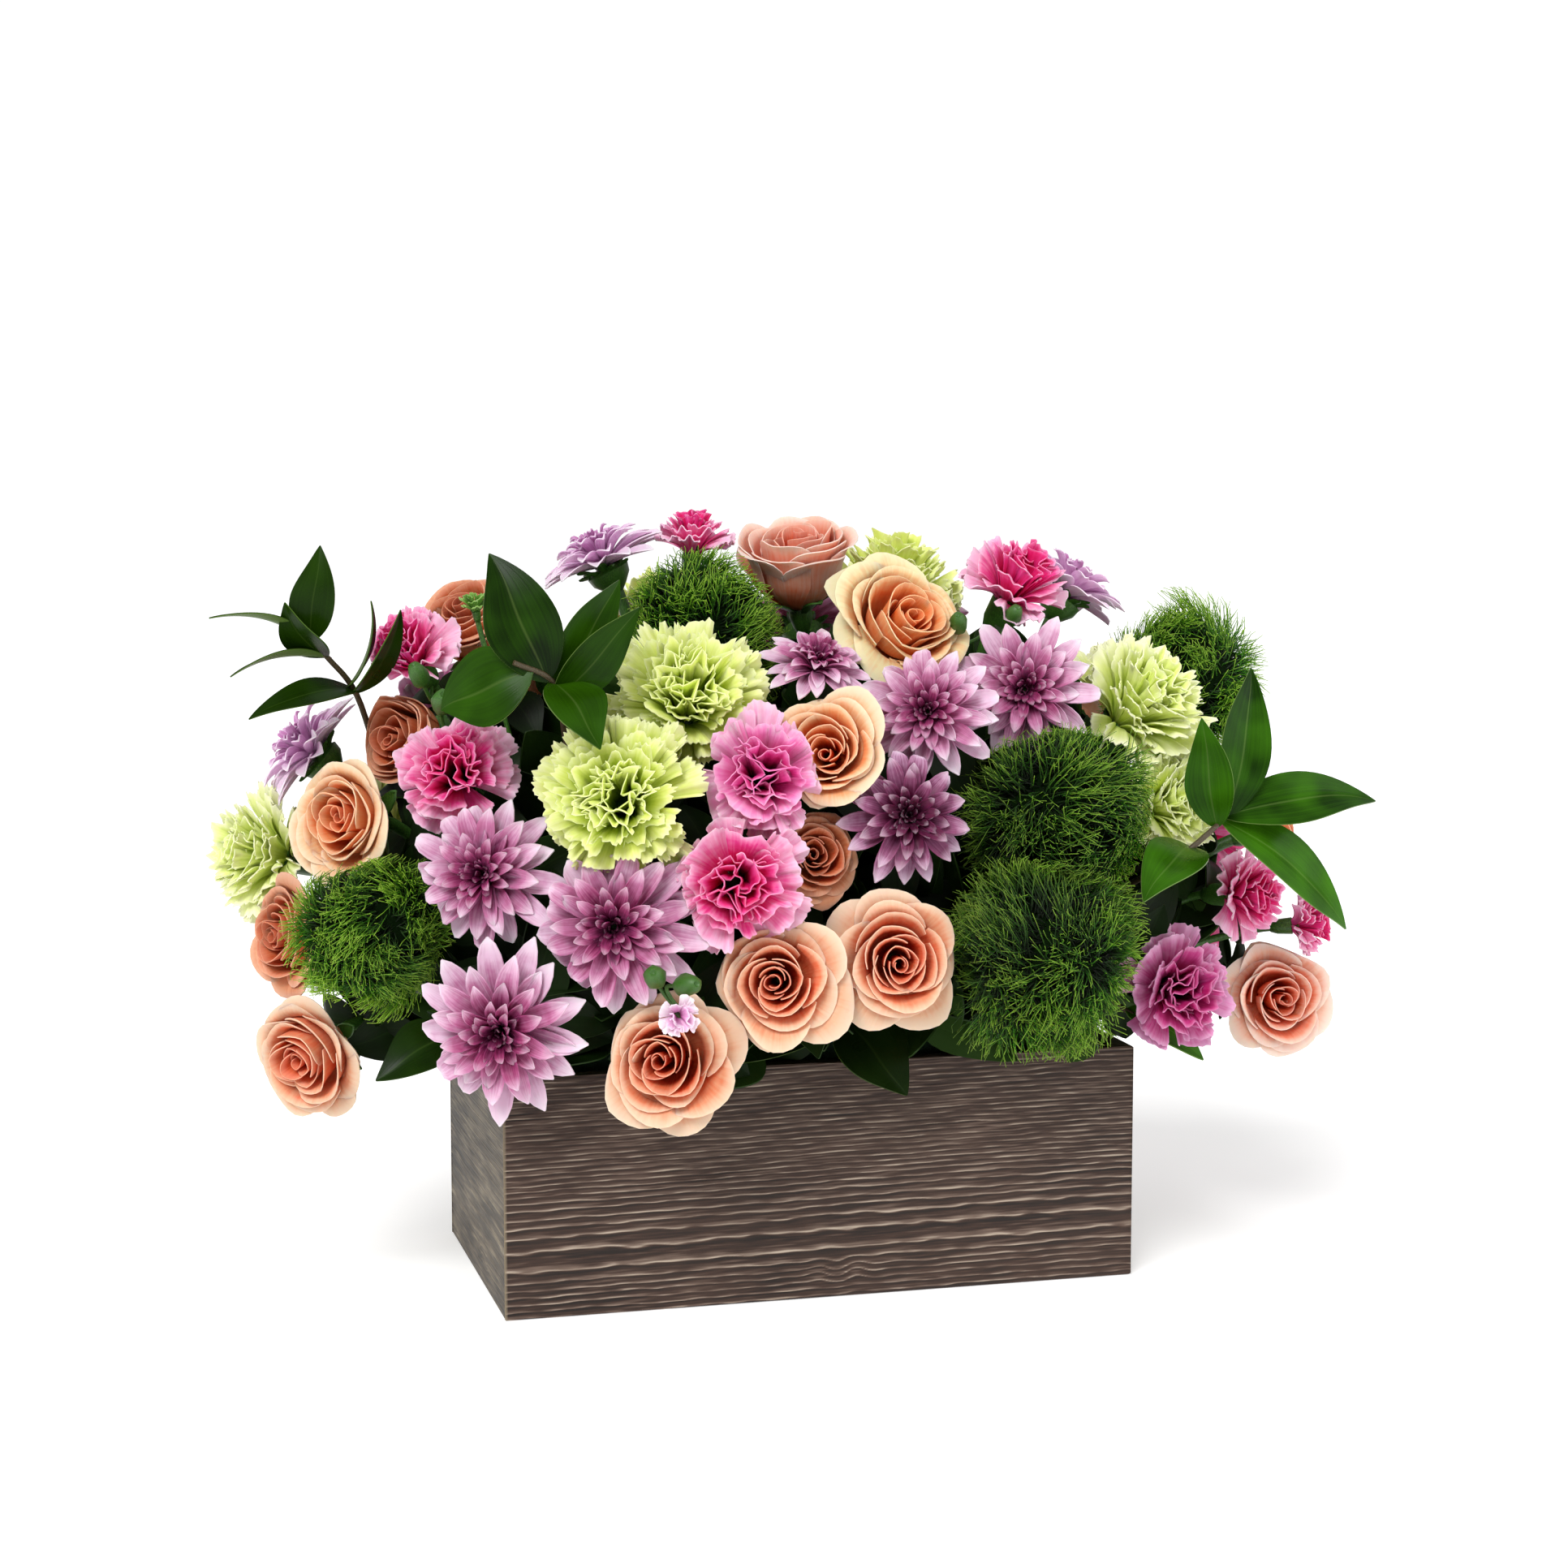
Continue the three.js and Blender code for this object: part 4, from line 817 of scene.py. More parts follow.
def limits_of(head):
    """Flat limits round a head: their directions from its centre, and how far off each one is."""
    ways, fars = [], []

    def add_limits(points, keep):
        way = points - head["centre"]
        far = np.linalg.norm(way, axis=1) - keep
        near = far < 1.25 * head["size"]
        ways.append(unit(way[near]))
        fars.append(np.maximum(far[near], 0.15 * head["size"]))

    out = np.linalg.norm(head["centre"] - BOUQUET_CORE)
    for other in heads:
        if other is head:
            continue
        apart = other["centre"] - head["centre"]
        sizes = head["size"] + other["size"]
        lead = (out - np.linalg.norm(other["centre"] - BOUQUET_CORE)) / sizes * 0.5
        share = head["size"] / sizes + np.clip(lead, -OVERLAP, OVERLAP)
        add_limits((head["centre"] + apart * share)[None], -TOUCH)
    add_limits(leaf_points, LEAF_CLEAR)
    for half, top in ((BOX_HALF, BOX_HEIGHT), (FOAM_HALF, FOAM_TOP)):
        nearest = np.clip(head["centre"], (-half[0], -half[1], 0), (*half, top))
        add_limits(nearest[None], BOX_CLEAR)
    return np.concatenate(ways), np.concatenate(fars)


def in_place(head, local):
    """Points of a head, from its own frame to the bouquet, bent in behind its limits."""
    offset = (local.reshape(-1, 3) * head["size"]) @ facing(head["axis"])
    ways, fars = limits_of(head)
    reach = np.max(offset @ ways.T / fars, axis=1, initial=SOFT_FROM)
    room = 1 - SOFT_FROM
    kept = SOFT_FROM + room * (1 - np.exp(-(reach - SOFT_FROM) / room))
    return (offset * (kept / reach)[:, None] + head["centre"]).reshape(local.shape)


def revolved(profile, sides=14, ribs=0.0):
    """A closed turned form about +Z from (height, radius) pairs, from bottom to top."""
    a = np.linspace(0, 2 * math.pi, sides, endpoint=False)
    swell = 1 + ribs * np.cos(a * sides / 2)
    rings = [np.stack([r * swell * np.cos(a), r * swell * np.sin(a), 0 * a + z], -1) for z, r in profile]
    return np.array(rings), tube_faces(1, len(rings), sides)


def turn_of(k, count, rng, loose):
    """Where the k-th of a ring stands, a little off its even place."""
    return 2 * math.pi * (k + loose * rng.uniform(-1, 1)) / count


def green_cup(head):
    """The cup and its sepals, in place."""
    kind = head["kind"]
    rings, faces = revolved([(-down * tall(head), wide) for down, wide in CUP[kind]])
    parts = [(in_place(head, rings).reshape(-1, 3), faces)]
    count, length, half, start, reach = SEPALS[kind]
    rng = seeded(head["name"] + "_sepals")
    t, u = sheet_steps(7, 5)
    sheets = []
    for k in range(count):
        droop = rng.uniform(0.5, 1.3)
        r = 0.12 + length * t * (1 - 0.15 * t) + 0 * u
        z = -tall(head) * (start - (start - reach) * t * (2 - t) * droop) + 0.03 * np.abs(u)
        side = half * np.sin(math.pi * np.clip(0.12 + 0.88 * t, 0, 1)) ** 0.7 * u
        sheets.append(spun(r, side, z, turn_of(k, count, rng, 0.2)))
    parts.append(shell(in_place(head, np.array(sheets)), SEPAL_THICK))
    return parts


stem_green = mottled_finish(
    "flower_stem_green", 140, 3, [(0.3, "1F4212"), (0.6, "3F6D22"), (0.8, "5E8A35")], 0.45,
    bump=(0.2, 0.0003),
)

stem_lines = {}  # each node's stems, for the leaves that grow on them
for node in FLOWERS:
    own = [h for h in heads if h["node"] == node]
    foot = foot_in_foam(node)
    middle = np.mean([h["bend"] for h in own], axis=0)
    fork = foot
    if len(own) > 1:
        t = 0.0
        while t < 0.9:
            fork = foot + (middle - foot) * t
            out = max(abs(fork[0]) - FOAM_HALF[0], abs(fork[1]) - FOAM_HALF[1], fork[2] - FOAM_TOP)
            if out > FORK_CLEAR:
                break
            t += 0.02
    parts, lines = [], []
    for h in own:
        low = h["bend"] + (fork - h["bend"]) * 0.35
        t = np.linspace(0, 1, 7)[:, None]
        curve = (1 - t) ** 2 * h["neck"] + 2 * t * (1 - t) * h["bend"] + t**2 * low
        line = np.vstack([curve, fork])
        lines.append(line)
        thin = BUD_STEM if h["size"] < SMALL_BUD else 1
        radii = np.linspace(STEM_WIDER, 1.0, len(line)) * STEM[h["kind"]] * thin
        parts += [rod(line, radii), *green_cup(h)]
    if len(own) > 1:
        parts.append(rod([fork, (fork + foot) / 2, foot], STEM[own[0]["kind"]] * SPRAY_STEM))
    stem_lines[node] = lines
    lay_piece(node + "_stem", *joined(parts), stem_green, "ruscus_leaf", [node])

# ---------------------------------------------------------------- roses
# Spray roses, peach and coral: a tight spiral heart in whorls of cupped petals, each lapped over
# the next, with the outer rims rolled back. The petals are satin, deep orange inside, pale outside,
# and darkest down in the heart, which is partly painted shade.
ROSE_WHORLS = [  # petals, wall radius, height of the rim, how far it flares and drops, half its wrap
    (2, 0.06, 0.2, 0.0, 0.0, 2.2), (3, 0.15, 0.26, 0.02, 0.0, 1.5), (3, 0.25, 0.31, 0.04, 0.02, 1.4),
    (3, 0.36, 0.35, 0.06, 0.03, 1.3), (4, 0.46, 0.33, 0.15, 0.08, 1.05), (5, 0.51, 0.29, 0.29, 0.18, 0.92),
    (5, 0.55, 0.2, 0.44, 0.24, 0.84),
]
ROSE_THICK = 0.4
ROSE_FOOT = -0.44
ROSE_FOOT_CLOSED = -0.8
ROSE_RIM_CLOSED = 0.4
HEART_SHIFT = 0.11  # how far the heart sits off the middle


def between(low, high, part):
    return low + (high - low) * part


def along_curve(corners, t):
    """A Bezier curve through the first and last of its corners, as (radius, height) at each t."""
    found = 0
    n = len(corners) - 1
    for k, corner in enumerate(np.asarray(corners, float)):
        found = found + math.comb(n, k) * (t ** k * (1 - t) ** (n - k))[..., None] * corner
    return found[..., 0], found[..., 1]


def rose_petals(head):
    """Every petal of a rose in the head's own frame, and each one's whorl from 0 to 1."""
    rng = seeded(head["name"])
    closed = head.get("closed", 0)
    foot = between(ROSE_FOOT, ROSE_FOOT_CLOSED, closed)
    t, u = sheet_steps(17, 13)
    sheets, whorls = [], []
    spin = rng.uniform(0, 2 * math.pi)
    shift = HEART_SHIFT * np.array((math.cos(spin * 3), math.sin(spin * 3)))
    for row, (count, wall, rim, flare, drop, wrap) in enumerate(ROSE_WHORLS):
        out = row / (len(ROSE_WHORLS) - 1)
        rim = between(rim, ROSE_RIM_CLOSED + 0.12 * out, closed)
        wall *= between(1, 1.1, closed)
        flare *= between(1, 0.78, closed)
        drop *= between(1, 0.4, closed)
        for k in range(count):
            turn = spin + turn_of(k, count, rng, 0.2) + row * 0.85
            outline = 1 - (0.06 + 0.18 * out) * np.abs(u) ** 2.6
            v = t * outline
            rise = np.sin(np.clip(v / 0.62, 0, 1) * math.pi / 2) ** 0.85
            r = 0.04 + (wall * rng.uniform(0.86, 1.08) - 0.02) * rise
            z = foot + (rim + (0.05 + 0.05 * closed) * rng.uniform(-1, 1) - foot) * v**1.2
            opens = np.clip((v - 0.54) / 0.46, 0, 1) ** 1.6
            lip = np.clip((v - 0.84) / 0.16, 0, 1) ** 2
            r = r + flare * rng.uniform(0.62, 1.15) * opens + 0.02 * out * lip
            z = z - drop * rng.uniform(0.3, 1.7) * opens - 0.08 * out * lip
            r = r * (1 + between(0.2, 0.06, out) * u)
            peak = 0.1 * rng.uniform(0.4, 1) * math.sin(math.pi * min(1, out + 0.12))
            r = r + peak * (1 - np.abs(u)) ** 1.5 * v**2
            z = z - 0.08 * out * np.abs(u) ** 3 * v**2
            ripple = 0.025 * (0.2 + out)
            z = z + ripple * np.sin(4.5 * u + rng.uniform(0, 7)) * v**3
            r = r + ripple * np.sin(3.7 * u + rng.uniform(0, 7)) * v**3
            swell = 0.5 + 0.5 * np.clip(v / 0.5, 0, 1) ** 0.8
            a = turn + wrap * rng.uniform(0.85, 1.1) * swell * u
            inner = (1 - out) * v
            sheets.append(np.stack([
                r * np.cos(a) + shift[0] * inner, r * np.sin(a) + shift[1] * inner, z,
            ], -1))
            whorls.append(out)
    return np.array(sheets), np.array(whorls)


def petal_finish(
    name, stops, edge, edge_from, veins, whorl_pull=0.55, rough=0.55, glow="F2A07C", rim=0.45,
    draw_pull=0.1,
):
    """Petal skin: heart to rim colours, fine veins running out, a rim, and light through it."""
    material, shader, add = new_finish(name)
    _, along, whorl, draw, place, spot = marked(add, "petal")
    lines = stretched_noise(add, place, (veins, 1.4, 60), 3)
    cloud = noise(add, 220, 2, spot)
    # Colour deepens toward the heart and toward each petal's foot: partly the flowers' own deeper heart,
    # partly painted shade down between the petals.
    tone = maths(add, "MULTIPLY", whorl, whorl_pull)
    tone = maths(add, "MULTIPLY_ADD", along, 1 - whorl_pull, tone)
    tone = swayed(add, swayed(add, tone, lines, 0.16), cloud, 0.14)
    tone = maths(add, "MULTIPLY_ADD", ranged(add, draw, 0, 1, -0.5, 0.5), draw_pull, tone)
    colour = ramp(add, tone, stops)
    # Outer petals go paler toward the tip: partly their own paler edge, partly a painted highlight where
    # the rims catch the light.
    far_out = ranged(add, whorl, 0, 1, 0.3, 1)
    rim_paler_and_highlit = maths(add, "MULTIPLY", ranged(add, along, edge_from, 1.0, 0.0, rim), far_out)
    feed(shader, {
        "Base Color": blend(add, rim_paler_and_highlit, colour, edge), "Normal": bumped(add, lines, 0.25, 0.0004),
        "Roughness": noise_to(add, cloud, rough - 0.05, rough + 0.1),
        "Specular IOR Level": 0.3, "Subsurface Weight": 0.4, "Subsurface Scale": 0.004,
        "Subsurface Radius": srgb(glow)[:3],
    })
    return material


def petal_finishes(family, tints, **shared):
    """A finish for each tint: its colours from heart to rim, its edge, and what else is its own."""
    return {
        tint: petal_finish(f"{family}_{tint}", stops, edge, **{**shared, **own})
        for tint, (stops, edge, own) in tints.items()
    }


def lay_petals(head, sheets, places, thick, finish, slot):
    """A head's petals, from their grids of points in its own frame."""
    marks = {"petal": skin_marks(sheets, head["name"] + "_marks", places[:, None, None])}
    skin = shell(in_place(head, sheets), thick)
    lay_piece(head["name"] + "_petals", *skin, finish, slot, [head["node"]], marks)


ROSE_FINISHES = petal_finishes("rose_petal", {
    "peach": (
        [(0.1, "701404"), (0.32, "C43E18"), (0.54, "DE6A44"), (0.76, "E08E6A"), (0.98, "E4AA8A")],
        "F8D6BE", {},
    ),
    "salmon": (
        [(0.1, "7E1806"), (0.32, "D44820"), (0.54, "EA7450"), (0.76, "EC9C84"), (0.98, "EEB8A6")],
        "FCE2D6", dict(rim=0.75),
    ),
    "apricot": (
        [(0.1, "802206"), (0.32, "D6541C"), (0.54, "EA824A"), (0.76, "EAA270"), (0.98, "ECBA94")],
        "FADCC0", {},
    ),
    "coral": (
        [(0.12, "7E200A"), (0.42, "AE4822"), (0.72, "C46A42"), (0.95, "D28A66")],
        "F0B8A0", dict(edge_from=0.88, rim=0.55),
    ),
    "cream": (
        [(0.1, "AC3A0C"), (0.36, "E06C2C"), (0.56, "E88C54"), (0.74, "E8AE7C"), (0.92, "E8CC9C")],
        "F8E2BE", dict(edge_from=0.88, rim=0.6),
    ),
}, veins=30, edge_from=0.86, rim=0.7)
for head in heads:
    if head["kind"] == "rose":
        finish = ROSE_FINISHES[head.get("tint", "peach")]
        lay_petals(head, *rose_petals(head), ROSE_THICK, finish, "rose_petal")

# ---------------------------------------------------------------- chrysanthemums
# Lavender spray chrysanthemums: rows of boat-shaped ray petals on a small disc, long and pale
# outside, short, upright and deep plum toward the heart.
MUM_ROWS = [  # petals, reach, height of the tip, half width, how hollow
    (6, 0.05, 0.2, 0.03, 0.9), (8, 0.12, 0.27, 0.036, 0.9), (10, 0.2, 0.33, 0.042, 0.9),
    (11, 0.29, 0.38, 0.052, 0.8), (11, 0.41, 0.38, 0.064, 0.75), (11, 0.59, 0.3, 0.09, 0.6),
    (12, 0.8, 0.16, 0.118, 0.55), (13, 1.0, 0.0, 0.14, 0.45),
]
MUM_THICK = 0.45


def mum_petals(head):
    """Every ray of a chrysanthemum in the head's own frame, and each one's row from 0 to 1."""
    rng = seeded(head["name"])
    t, u = sheet_steps(9, 5)
    outline = np.interp(t, [0, 0.3, 0.56, 0.78, 0.92, 1], [0.45, 0.76, 1, 0.8, 0.42, 0.05])
    sheets, rows = [], []
    for row, (count, reach, tip, half, hollow) in enumerate(MUM_ROWS):
        for k in range(count):
            a = turn_of(k + 0.5 * (row % 2), count, rng, 0.22)
            far = reach * rng.uniform(0.84, 1.06)
            top = tip + 0.11 * rng.uniform(-1, 1)
            r, z = along_curve([
                (0.05, -0.06), (0.35 * far, 0.55 * top + 0.02), (0.72 * far, top + 0.05), (far, top),
            ], t + 0 * u)
            across = half * outline * u
            z = z + hollow * half * outline * u**2
            twist = 0.25 * rng.uniform(-1, 1) * t
            z = z + across * np.sin(twist)
            sway = 0.05 * rng.uniform(-1, 1) * t**2
            side = across * np.cos(twist) + sway
            sheets.append(spun(r, side, z, a))
            rows.append((row / (len(MUM_ROWS) - 1)) ** 1.5)
    return np.array(sheets), np.array(rows)


MUM_FINISHES = petal_finishes("chrysanthemum", {
    "plum": (
        [(0.08, "1E0210"), (0.3, "500830"), (0.5, "8C3462"), (0.7, "B87298"), (0.92, "DEB4CC")],
        "F8EAF2", dict(edge_from=0.74, glow="D890B0"),
    ),
    "dark": (
        [(0.1, "170109"), (0.36, "380520"), (0.58, "5A183C"), (0.78, "884A6E"), (0.98, "C094B2")],
        "F0DEEA", dict(glow="C080A0"),
    ),
    "pale": (
        [(0.06, "5A1440"), (0.26, "94487C"), (0.44, "BC80B0"), (0.62, "D6AACE"), (0.86, "EACCE2")],
        "FAECF6", dict(whorl_pull=0.6, glow="E0A8C8"),
    ),
}, veins=12, edge_from=0.76, whorl_pull=0.56, rough=0.5, rim=0.6)
for head in heads:
    if head["kind"] == "mum":
        finish = MUM_FINISHES[head.get("tint", "plum")]
        lay_petals(head, *mum_petals(head), MUM_THICK, finish, "chrysanthemum_petal")

# ---------------------------------------------------------------- carnations
# Lime green carnations, and small magenta and mauve spray carnations: a dome of fan-shaped petals,
# folded and crimped, each with a toothed edge, packed into a long green cup.
CARNATION_ROWS = [
    (3, 0.0), (4, 0.1), (5, 0.22), (7, 0.36), (8, 0.5), (8, 0.64), (9, 0.78), (9, 0.9), (9, 1.0),
]
SPRAY_ROWS = [(3, 0.02), (4, 0.16), (5, 0.34), (6, 0.56), (7, 0.8), (7, 1.0)]
BUD_ROWS = [(3, 0.2), (5, 0.5), (6, 0.8)]
CARNATION_THICK = 0.4


def carnation_petals(head, rows, half, crimp, teeth, ragged):
    """Every petal of a carnation in the head's own frame, and each one's row from 0 to 1."""
    rng = seeded(head["name"])
    t, u = sheet_steps(9, 2 * teeth + 1)
    odd = np.arange(2 * teeth + 1) % 2 == 1
    sheets, places = [], []
    for count, out in rows:
        for k in range(count):
            a = turn_of(k, count, rng, 0.5) + 11 * out
            far = (0.1 + 0.9 * out) * rng.uniform(0.84, 1.05)
            top = (0.56 * (1 - out**2) + 0.1) * rng.uniform(0.8, 1.15)
            tooth = np.where(odd, 1, rng.uniform(-0.3, 0.9, len(odd)))[None, :]
            v = t * (1 - 0.14 * np.abs(u) ** 2.2 - ragged * (1 - tooth) * t**4)
            r, z = along_curve([
                (0.07, -0.42), (0.12 + 0.14 * out, -0.05), (0.1 + 0.62 * out, top + 0.02 - 0.1 * out),
                (far, top - 0.06 * out),
            ], v)
            fan = half * (0.16 + 0.84 * v ** 1.3) * u * rng.uniform(0.8, 1.15)
            folds = crimp * (1.25 - 0.4 * out) * v**1.5 * (
                np.sin(rng.uniform(3.6, 6.5) * u + rng.uniform(0, 7))
                + 0.55 * np.sin(rng.uniform(8, 12) * u + rng.uniform(0, 7))
            )
            up = (1 - out) * 0.9 + 0.1
            r = r + folds * up
            z = z + folds * (1.2 - up)
            side = fan * (1 - 0.22 * out * np.abs(u))
            roll = rng.uniform(-0.6, 0.6)
            r = r + side * math.sin(roll) * up
            z = z + side * math.sin(roll) * (1 - up)
            side = side * math.cos(roll)
            sheets.append(spun(r, side, z, a))
            places.append(out)
    return np.array(sheets), np.array(places)


CARNATION_FINISHES = petal_finishes("carnation", {
    "lime": (
        [(0.12, "84A628"), (0.38, "B8D044"), (0.66, "DAE876"), (0.95, "ECF4A4")],
        "F4FAC8", dict(whorl_pull=0.22, glow="D0E890"),
    ),
    "pale_lime": (
        [(0.12, "90AE38"), (0.38, "C8DC5C"), (0.66, "E6F294"), (0.95, "F6FAC0")],
        "F8FAD8", dict(whorl_pull=0.22, glow="D8E8A0"),
    ),
    "magenta": (
        [(0.15, "84022E"), (0.4, "D60A64"), (0.62, "E84290"), (0.95, "F8B6D2")],
        "FAD4E4", dict(whorl_pull=0.5, glow="E880A8"),
    ),
    "mauve": (
        [(0.15, "8A1052"), (0.4, "D83A8A"), (0.66, "EE7EB6"), (0.95, "F8C0DA")],
        "F2CCE0", dict(whorl_pull=0.5, glow="D880B8"),
    ),
    "wine": (
        [(0.15, "56032E"), (0.4, "9E125A"), (0.66, "B83C7E"), (0.95, "D08CB2")],
        "E8C0D8", dict(whorl_pull=0.5, glow="C870A8"),
    ),
    "bud_green": (
        [(0.1, "3F6A20"), (0.5, "5E8C34"), (0.9, "86AE58")],
        "9CBE74", dict(edge_from=0.9, rough=0.5, glow="B0D080"),
    ),
    "blush": (
        [(0.1, "B8308C"), (0.4, "E29CCC"), (0.8, "F6E0EE")],
        "FBF0F8", dict(edge_from=0.8, veins=14, whorl_pull=0.6, glow="E8B0D8"),
    ),
}, veins=20, edge_from=0.88, rough=0.6)
for head in heads:
    if head["kind"] == "carnation":
        petals = carnation_petals(head, CARNATION_ROWS, 0.34, 0.09, 9, 0.075)
        finish, slot = CARNATION_FINISHES[head.get("tint", "lime")], "green_carnation_petal"
    elif head["kind"] == "mini":
        rows = BUD_ROWS if head["size"] < SMALL_BUD else SPRAY_ROWS
        petals = carnation_petals(head, rows, 0.46, 0.075, 8, 0.035)
        finish, slot = CARNATION_FINISHES[head.get("tint", "magenta")], "pink_carnation_petal"
    else:
        continue
    lay_petals(head, *petals, CARNATION_THICK, finish, slot)

# ---------------------------------------------------------------- spray carnation buds
# Tight green buds on short side stems of the sprays, each an egg-shaped cup with five teeth, not
# yet showing colour.
BUDS = {  # the spray's node: where each bud is, which way it faces, and its radius
    "mini_left_spray": [
        ((-144, -34, 231), (-0.4, -0.6, 0.7), 3.6), ((-137, -46, 222), (-0.1, -0.9, 0.5), 4.2),
    ],
    "mini_right_top": [
        ((52, -56, 248), (-0.3, -0.8, 0.6), 3.4), ((76, -48, 250), (0.1, -0.8, 0.6), 3.4),
    ],
    "mini_centre_spray": [
        ((-77, -121, 133), (-0.3, -0.9, 0.4), 4), ((-66, -123, 130), (0.3, -0.9, 0.2), 4),
    ],
}
BUD_SHAPE = [  # half profile: (height, radius), from the stalk to the hollow between the teeth
    (-1.7, 0.3), (-1.4, 0.7), (-0.8, 0.95), (0, 1), (0.7, 0.86), (1.3, 0.62), (1.5, 0.3), (1.3, 0.1),
]
BUD_STALK = 0.75
BUD_BEND = 8  # how far behind a bud its stalk bends, and where it starts to look for the stem
BUD_BACK = 12
for node, buds in BUDS.items():
    parts = []
    for at, face, size in buds:
        face = unit(face)
        rings, faces = revolved([(z * size, r * size) for z, r in BUD_SHAPE], sides=10, ribs=0.05)
        points = rings.reshape(-1, 3) @ facing(face) + at
        start = at - face * 1.6 * size
        root = nearest_on(stem_lines[node], start - face * BUD_BACK)
        bend = start - face * BUD_BEND
        path = rounded_path([start + face, bend, (bend + root) / 2 - (0, 0, 2), root])
        parts += [(points, faces), rod(path, BUD_STALK)]
    lay_piece(node + "_buds", *joined(parts), stem_green, "ruscus_leaf", [node])

# ---------------------------------------------------------------- green trick dianthus
# Balls of fine green bristles in place of petals: thousands of curled threads in tufts, growing
# from a dark green core, near black at their roots and lighter at their tips: painted shade deep in
# the ball and a painted highlight on the tips.
BRISTLES = 3200  # on each ball
BRISTLE_HALF = 0.34
BRISTLE_STEPS = 7
TUFTS = 46
CROWDED = ("trick_right_upper", "trick_right_lower")  # these swell into the corners between them
CROWDED_SWELL = 0.18
CORE_RADIUS = 0.6  # of the ball's own; the threads start a little inside it
ROOT_RADIUS = 0.58
TO_TUFT = 0.62  # how far a thread leans over to the middle of its tuft
COMB = 0.3


def combed(ways, rng):
    """Smooth uneven swirls over a ball: a direction along its surface at each point."""
    swirl = 0
    for _ in range(4):
        pole, other = unit(rng.normal(size=(2, 3)))
        wave = np.sin(rng.uniform(2.5, 6) * (ways @ pole) + rng.uniform(0, 7))
        swirl = swirl + wave[:, None] * np.cross(ways, other)
    return swirl / 2


def bristle_ball(head):
    """The threads of a ball, as three-sided rods that thin toward their tips, and their marks."""
    rng = seeded(head["name"])
    tufts = unit(rng.normal(size=(TUFTS, 3)))
    root_way = unit(rng.normal(size=(BRISTLES, 3)))
    nearest = np.argmax(root_way @ tufts.T, axis=1)
    splay = root_way + TO_TUFT * (tufts[nearest] - root_way)
    splay = unit(splay + 0.16 * rng.normal(size=(BRISTLES, 3)))
    t = np.linspace(0, 1, BRISTLE_STEPS)[None, :, None]
    tuft_reach = rng.uniform(0.76, 1.02, TUFTS)[nearest]
    reach = (tuft_reach * rng.uniform(0.9, 1.02, BRISTLES))[:, None, None]
    path = (ROOT_RADIUS * root_way)[:, None] * (1 - t) + splay[:, None] * reach * t
    path = path + COMB * combed(root_way, rng)[:, None] * t**2 * reach
    sideways = unit(np.cross(splay, rng.normal(size=(BRISTLES, 3))))
    curl = rng.uniform(-0.16, 0.16, (BRISTLES, 1, 1))
    path = path + sideways[:, None] * curl * t * np.sin(4 * t + rng.uniform(0, 2, (BRISTLES, 1, 1)))
    far = np.linalg.norm(path, axis=-1, keepdims=True)
    path = path * np.minimum(1, (0.97 + 0.05 * reach) / np.maximum(far, 1e-6))
    if head["node"] in CROWDED:
        up = unit((facing(head["axis"]) @ (0, 0, 1))[:2])
        corner = np.abs((path[..., :2] @ up) * (path[..., :2] @ (-up[1], up[0])))
        path = path * (1 + 2 * CROWDED_SWELL * corner)[..., None]
    path = in_place(head, path)
    along = unit(np.gradient(path, axis=1))
    side = unit(np.cross(along, unit(rng.normal(size=(BRISTLES, 1, 3)))))
    up = np.cross(along, side)
    a = np.arange(3) * 2 * math.pi / 3
    ring = side[:, :, None] * np.cos(a)[:, None] + up[:, :, None] * np.sin(a)[:, None]
    thin = BRISTLE_HALF * np.linspace(1, 0.35, BRISTLE_STEPS)[None, :, None, None]
    points = path[:, :, None] + ring * thin
    draw = 0.65 * rng.uniform(size=TUFTS)[nearest] + 0.35 * rng.uniform(size=BRISTLES)
    fields = np.broadcast_arrays(0.5, t, 0.5, draw[:, None, None], points[..., 0])[:4]
    marks = np.stack(fields, -1).reshape(-1, 4)
    return points.reshape(-1, 3), tube_faces(BRISTLES, BRISTLE_STEPS, 3), marks


# Each thread's colour runs along it, near black at the root to pale at the tip, with a paler edge colour
# at the tip: painted shade deep in the ball and a painted highlight on the tips.
TRICK_FINISHES = petal_finishes("trick_bristle", {
    "green": (
        [(0.2, "0A1A03"), (0.5, "224508"), (0.75, "406E10"), (0.95, "6E9C26")],
        "94BE40", dict(glow="90C850", draw_pull=0.34),
    ),
    # The deep copy, on the two front right balls, is painted shade: the same bristles, darker.
    "deep": (
        [(0.2, "061102"), (0.5, "172F06"), (0.75, "2F500C"), (0.95, "5C801E")],
        "84A83C", dict(glow="80B848", draw_pull=0.42),
    ),
}, veins=3, edge_from=0.8, whorl_pull=0.1, rough=0.6)
# The core is near black: partly its own dark green, partly painted shade deep inside the ball.
core_green = mottled_finish(
    "trick_core_green", 400, 4, [(0.3, "060F03"), (0.7, "12290A")], 0.9, 0.05, (0.8, 0.001),
)
for head in heads:
    if head["kind"] != "trick":
        continue
    points, faces, marks = bristle_ball(head)
    finish = TRICK_FINISHES[head.get("tint", "green")]
    takes = [head["node"]]
    marks = {"petal": marks}
    lay_piece(head["name"] + "_bristles", points, faces, finish, "green_bristle", takes, marks, 180)
    down = np.linspace(math.pi - 0.15, 0.15, 12)
    profile = [(CORE_RADIUS * math.cos(a), CORE_RADIUS * math.sin(a)) for a in down]
    rings, faces = revolved(profile, sides=20, ribs=0.04)
    points = in_place(head, rings).reshape(-1, 3)
    lay_piece(head["name"] + "_core", points, faces, core_green, "green_bristle", takes)
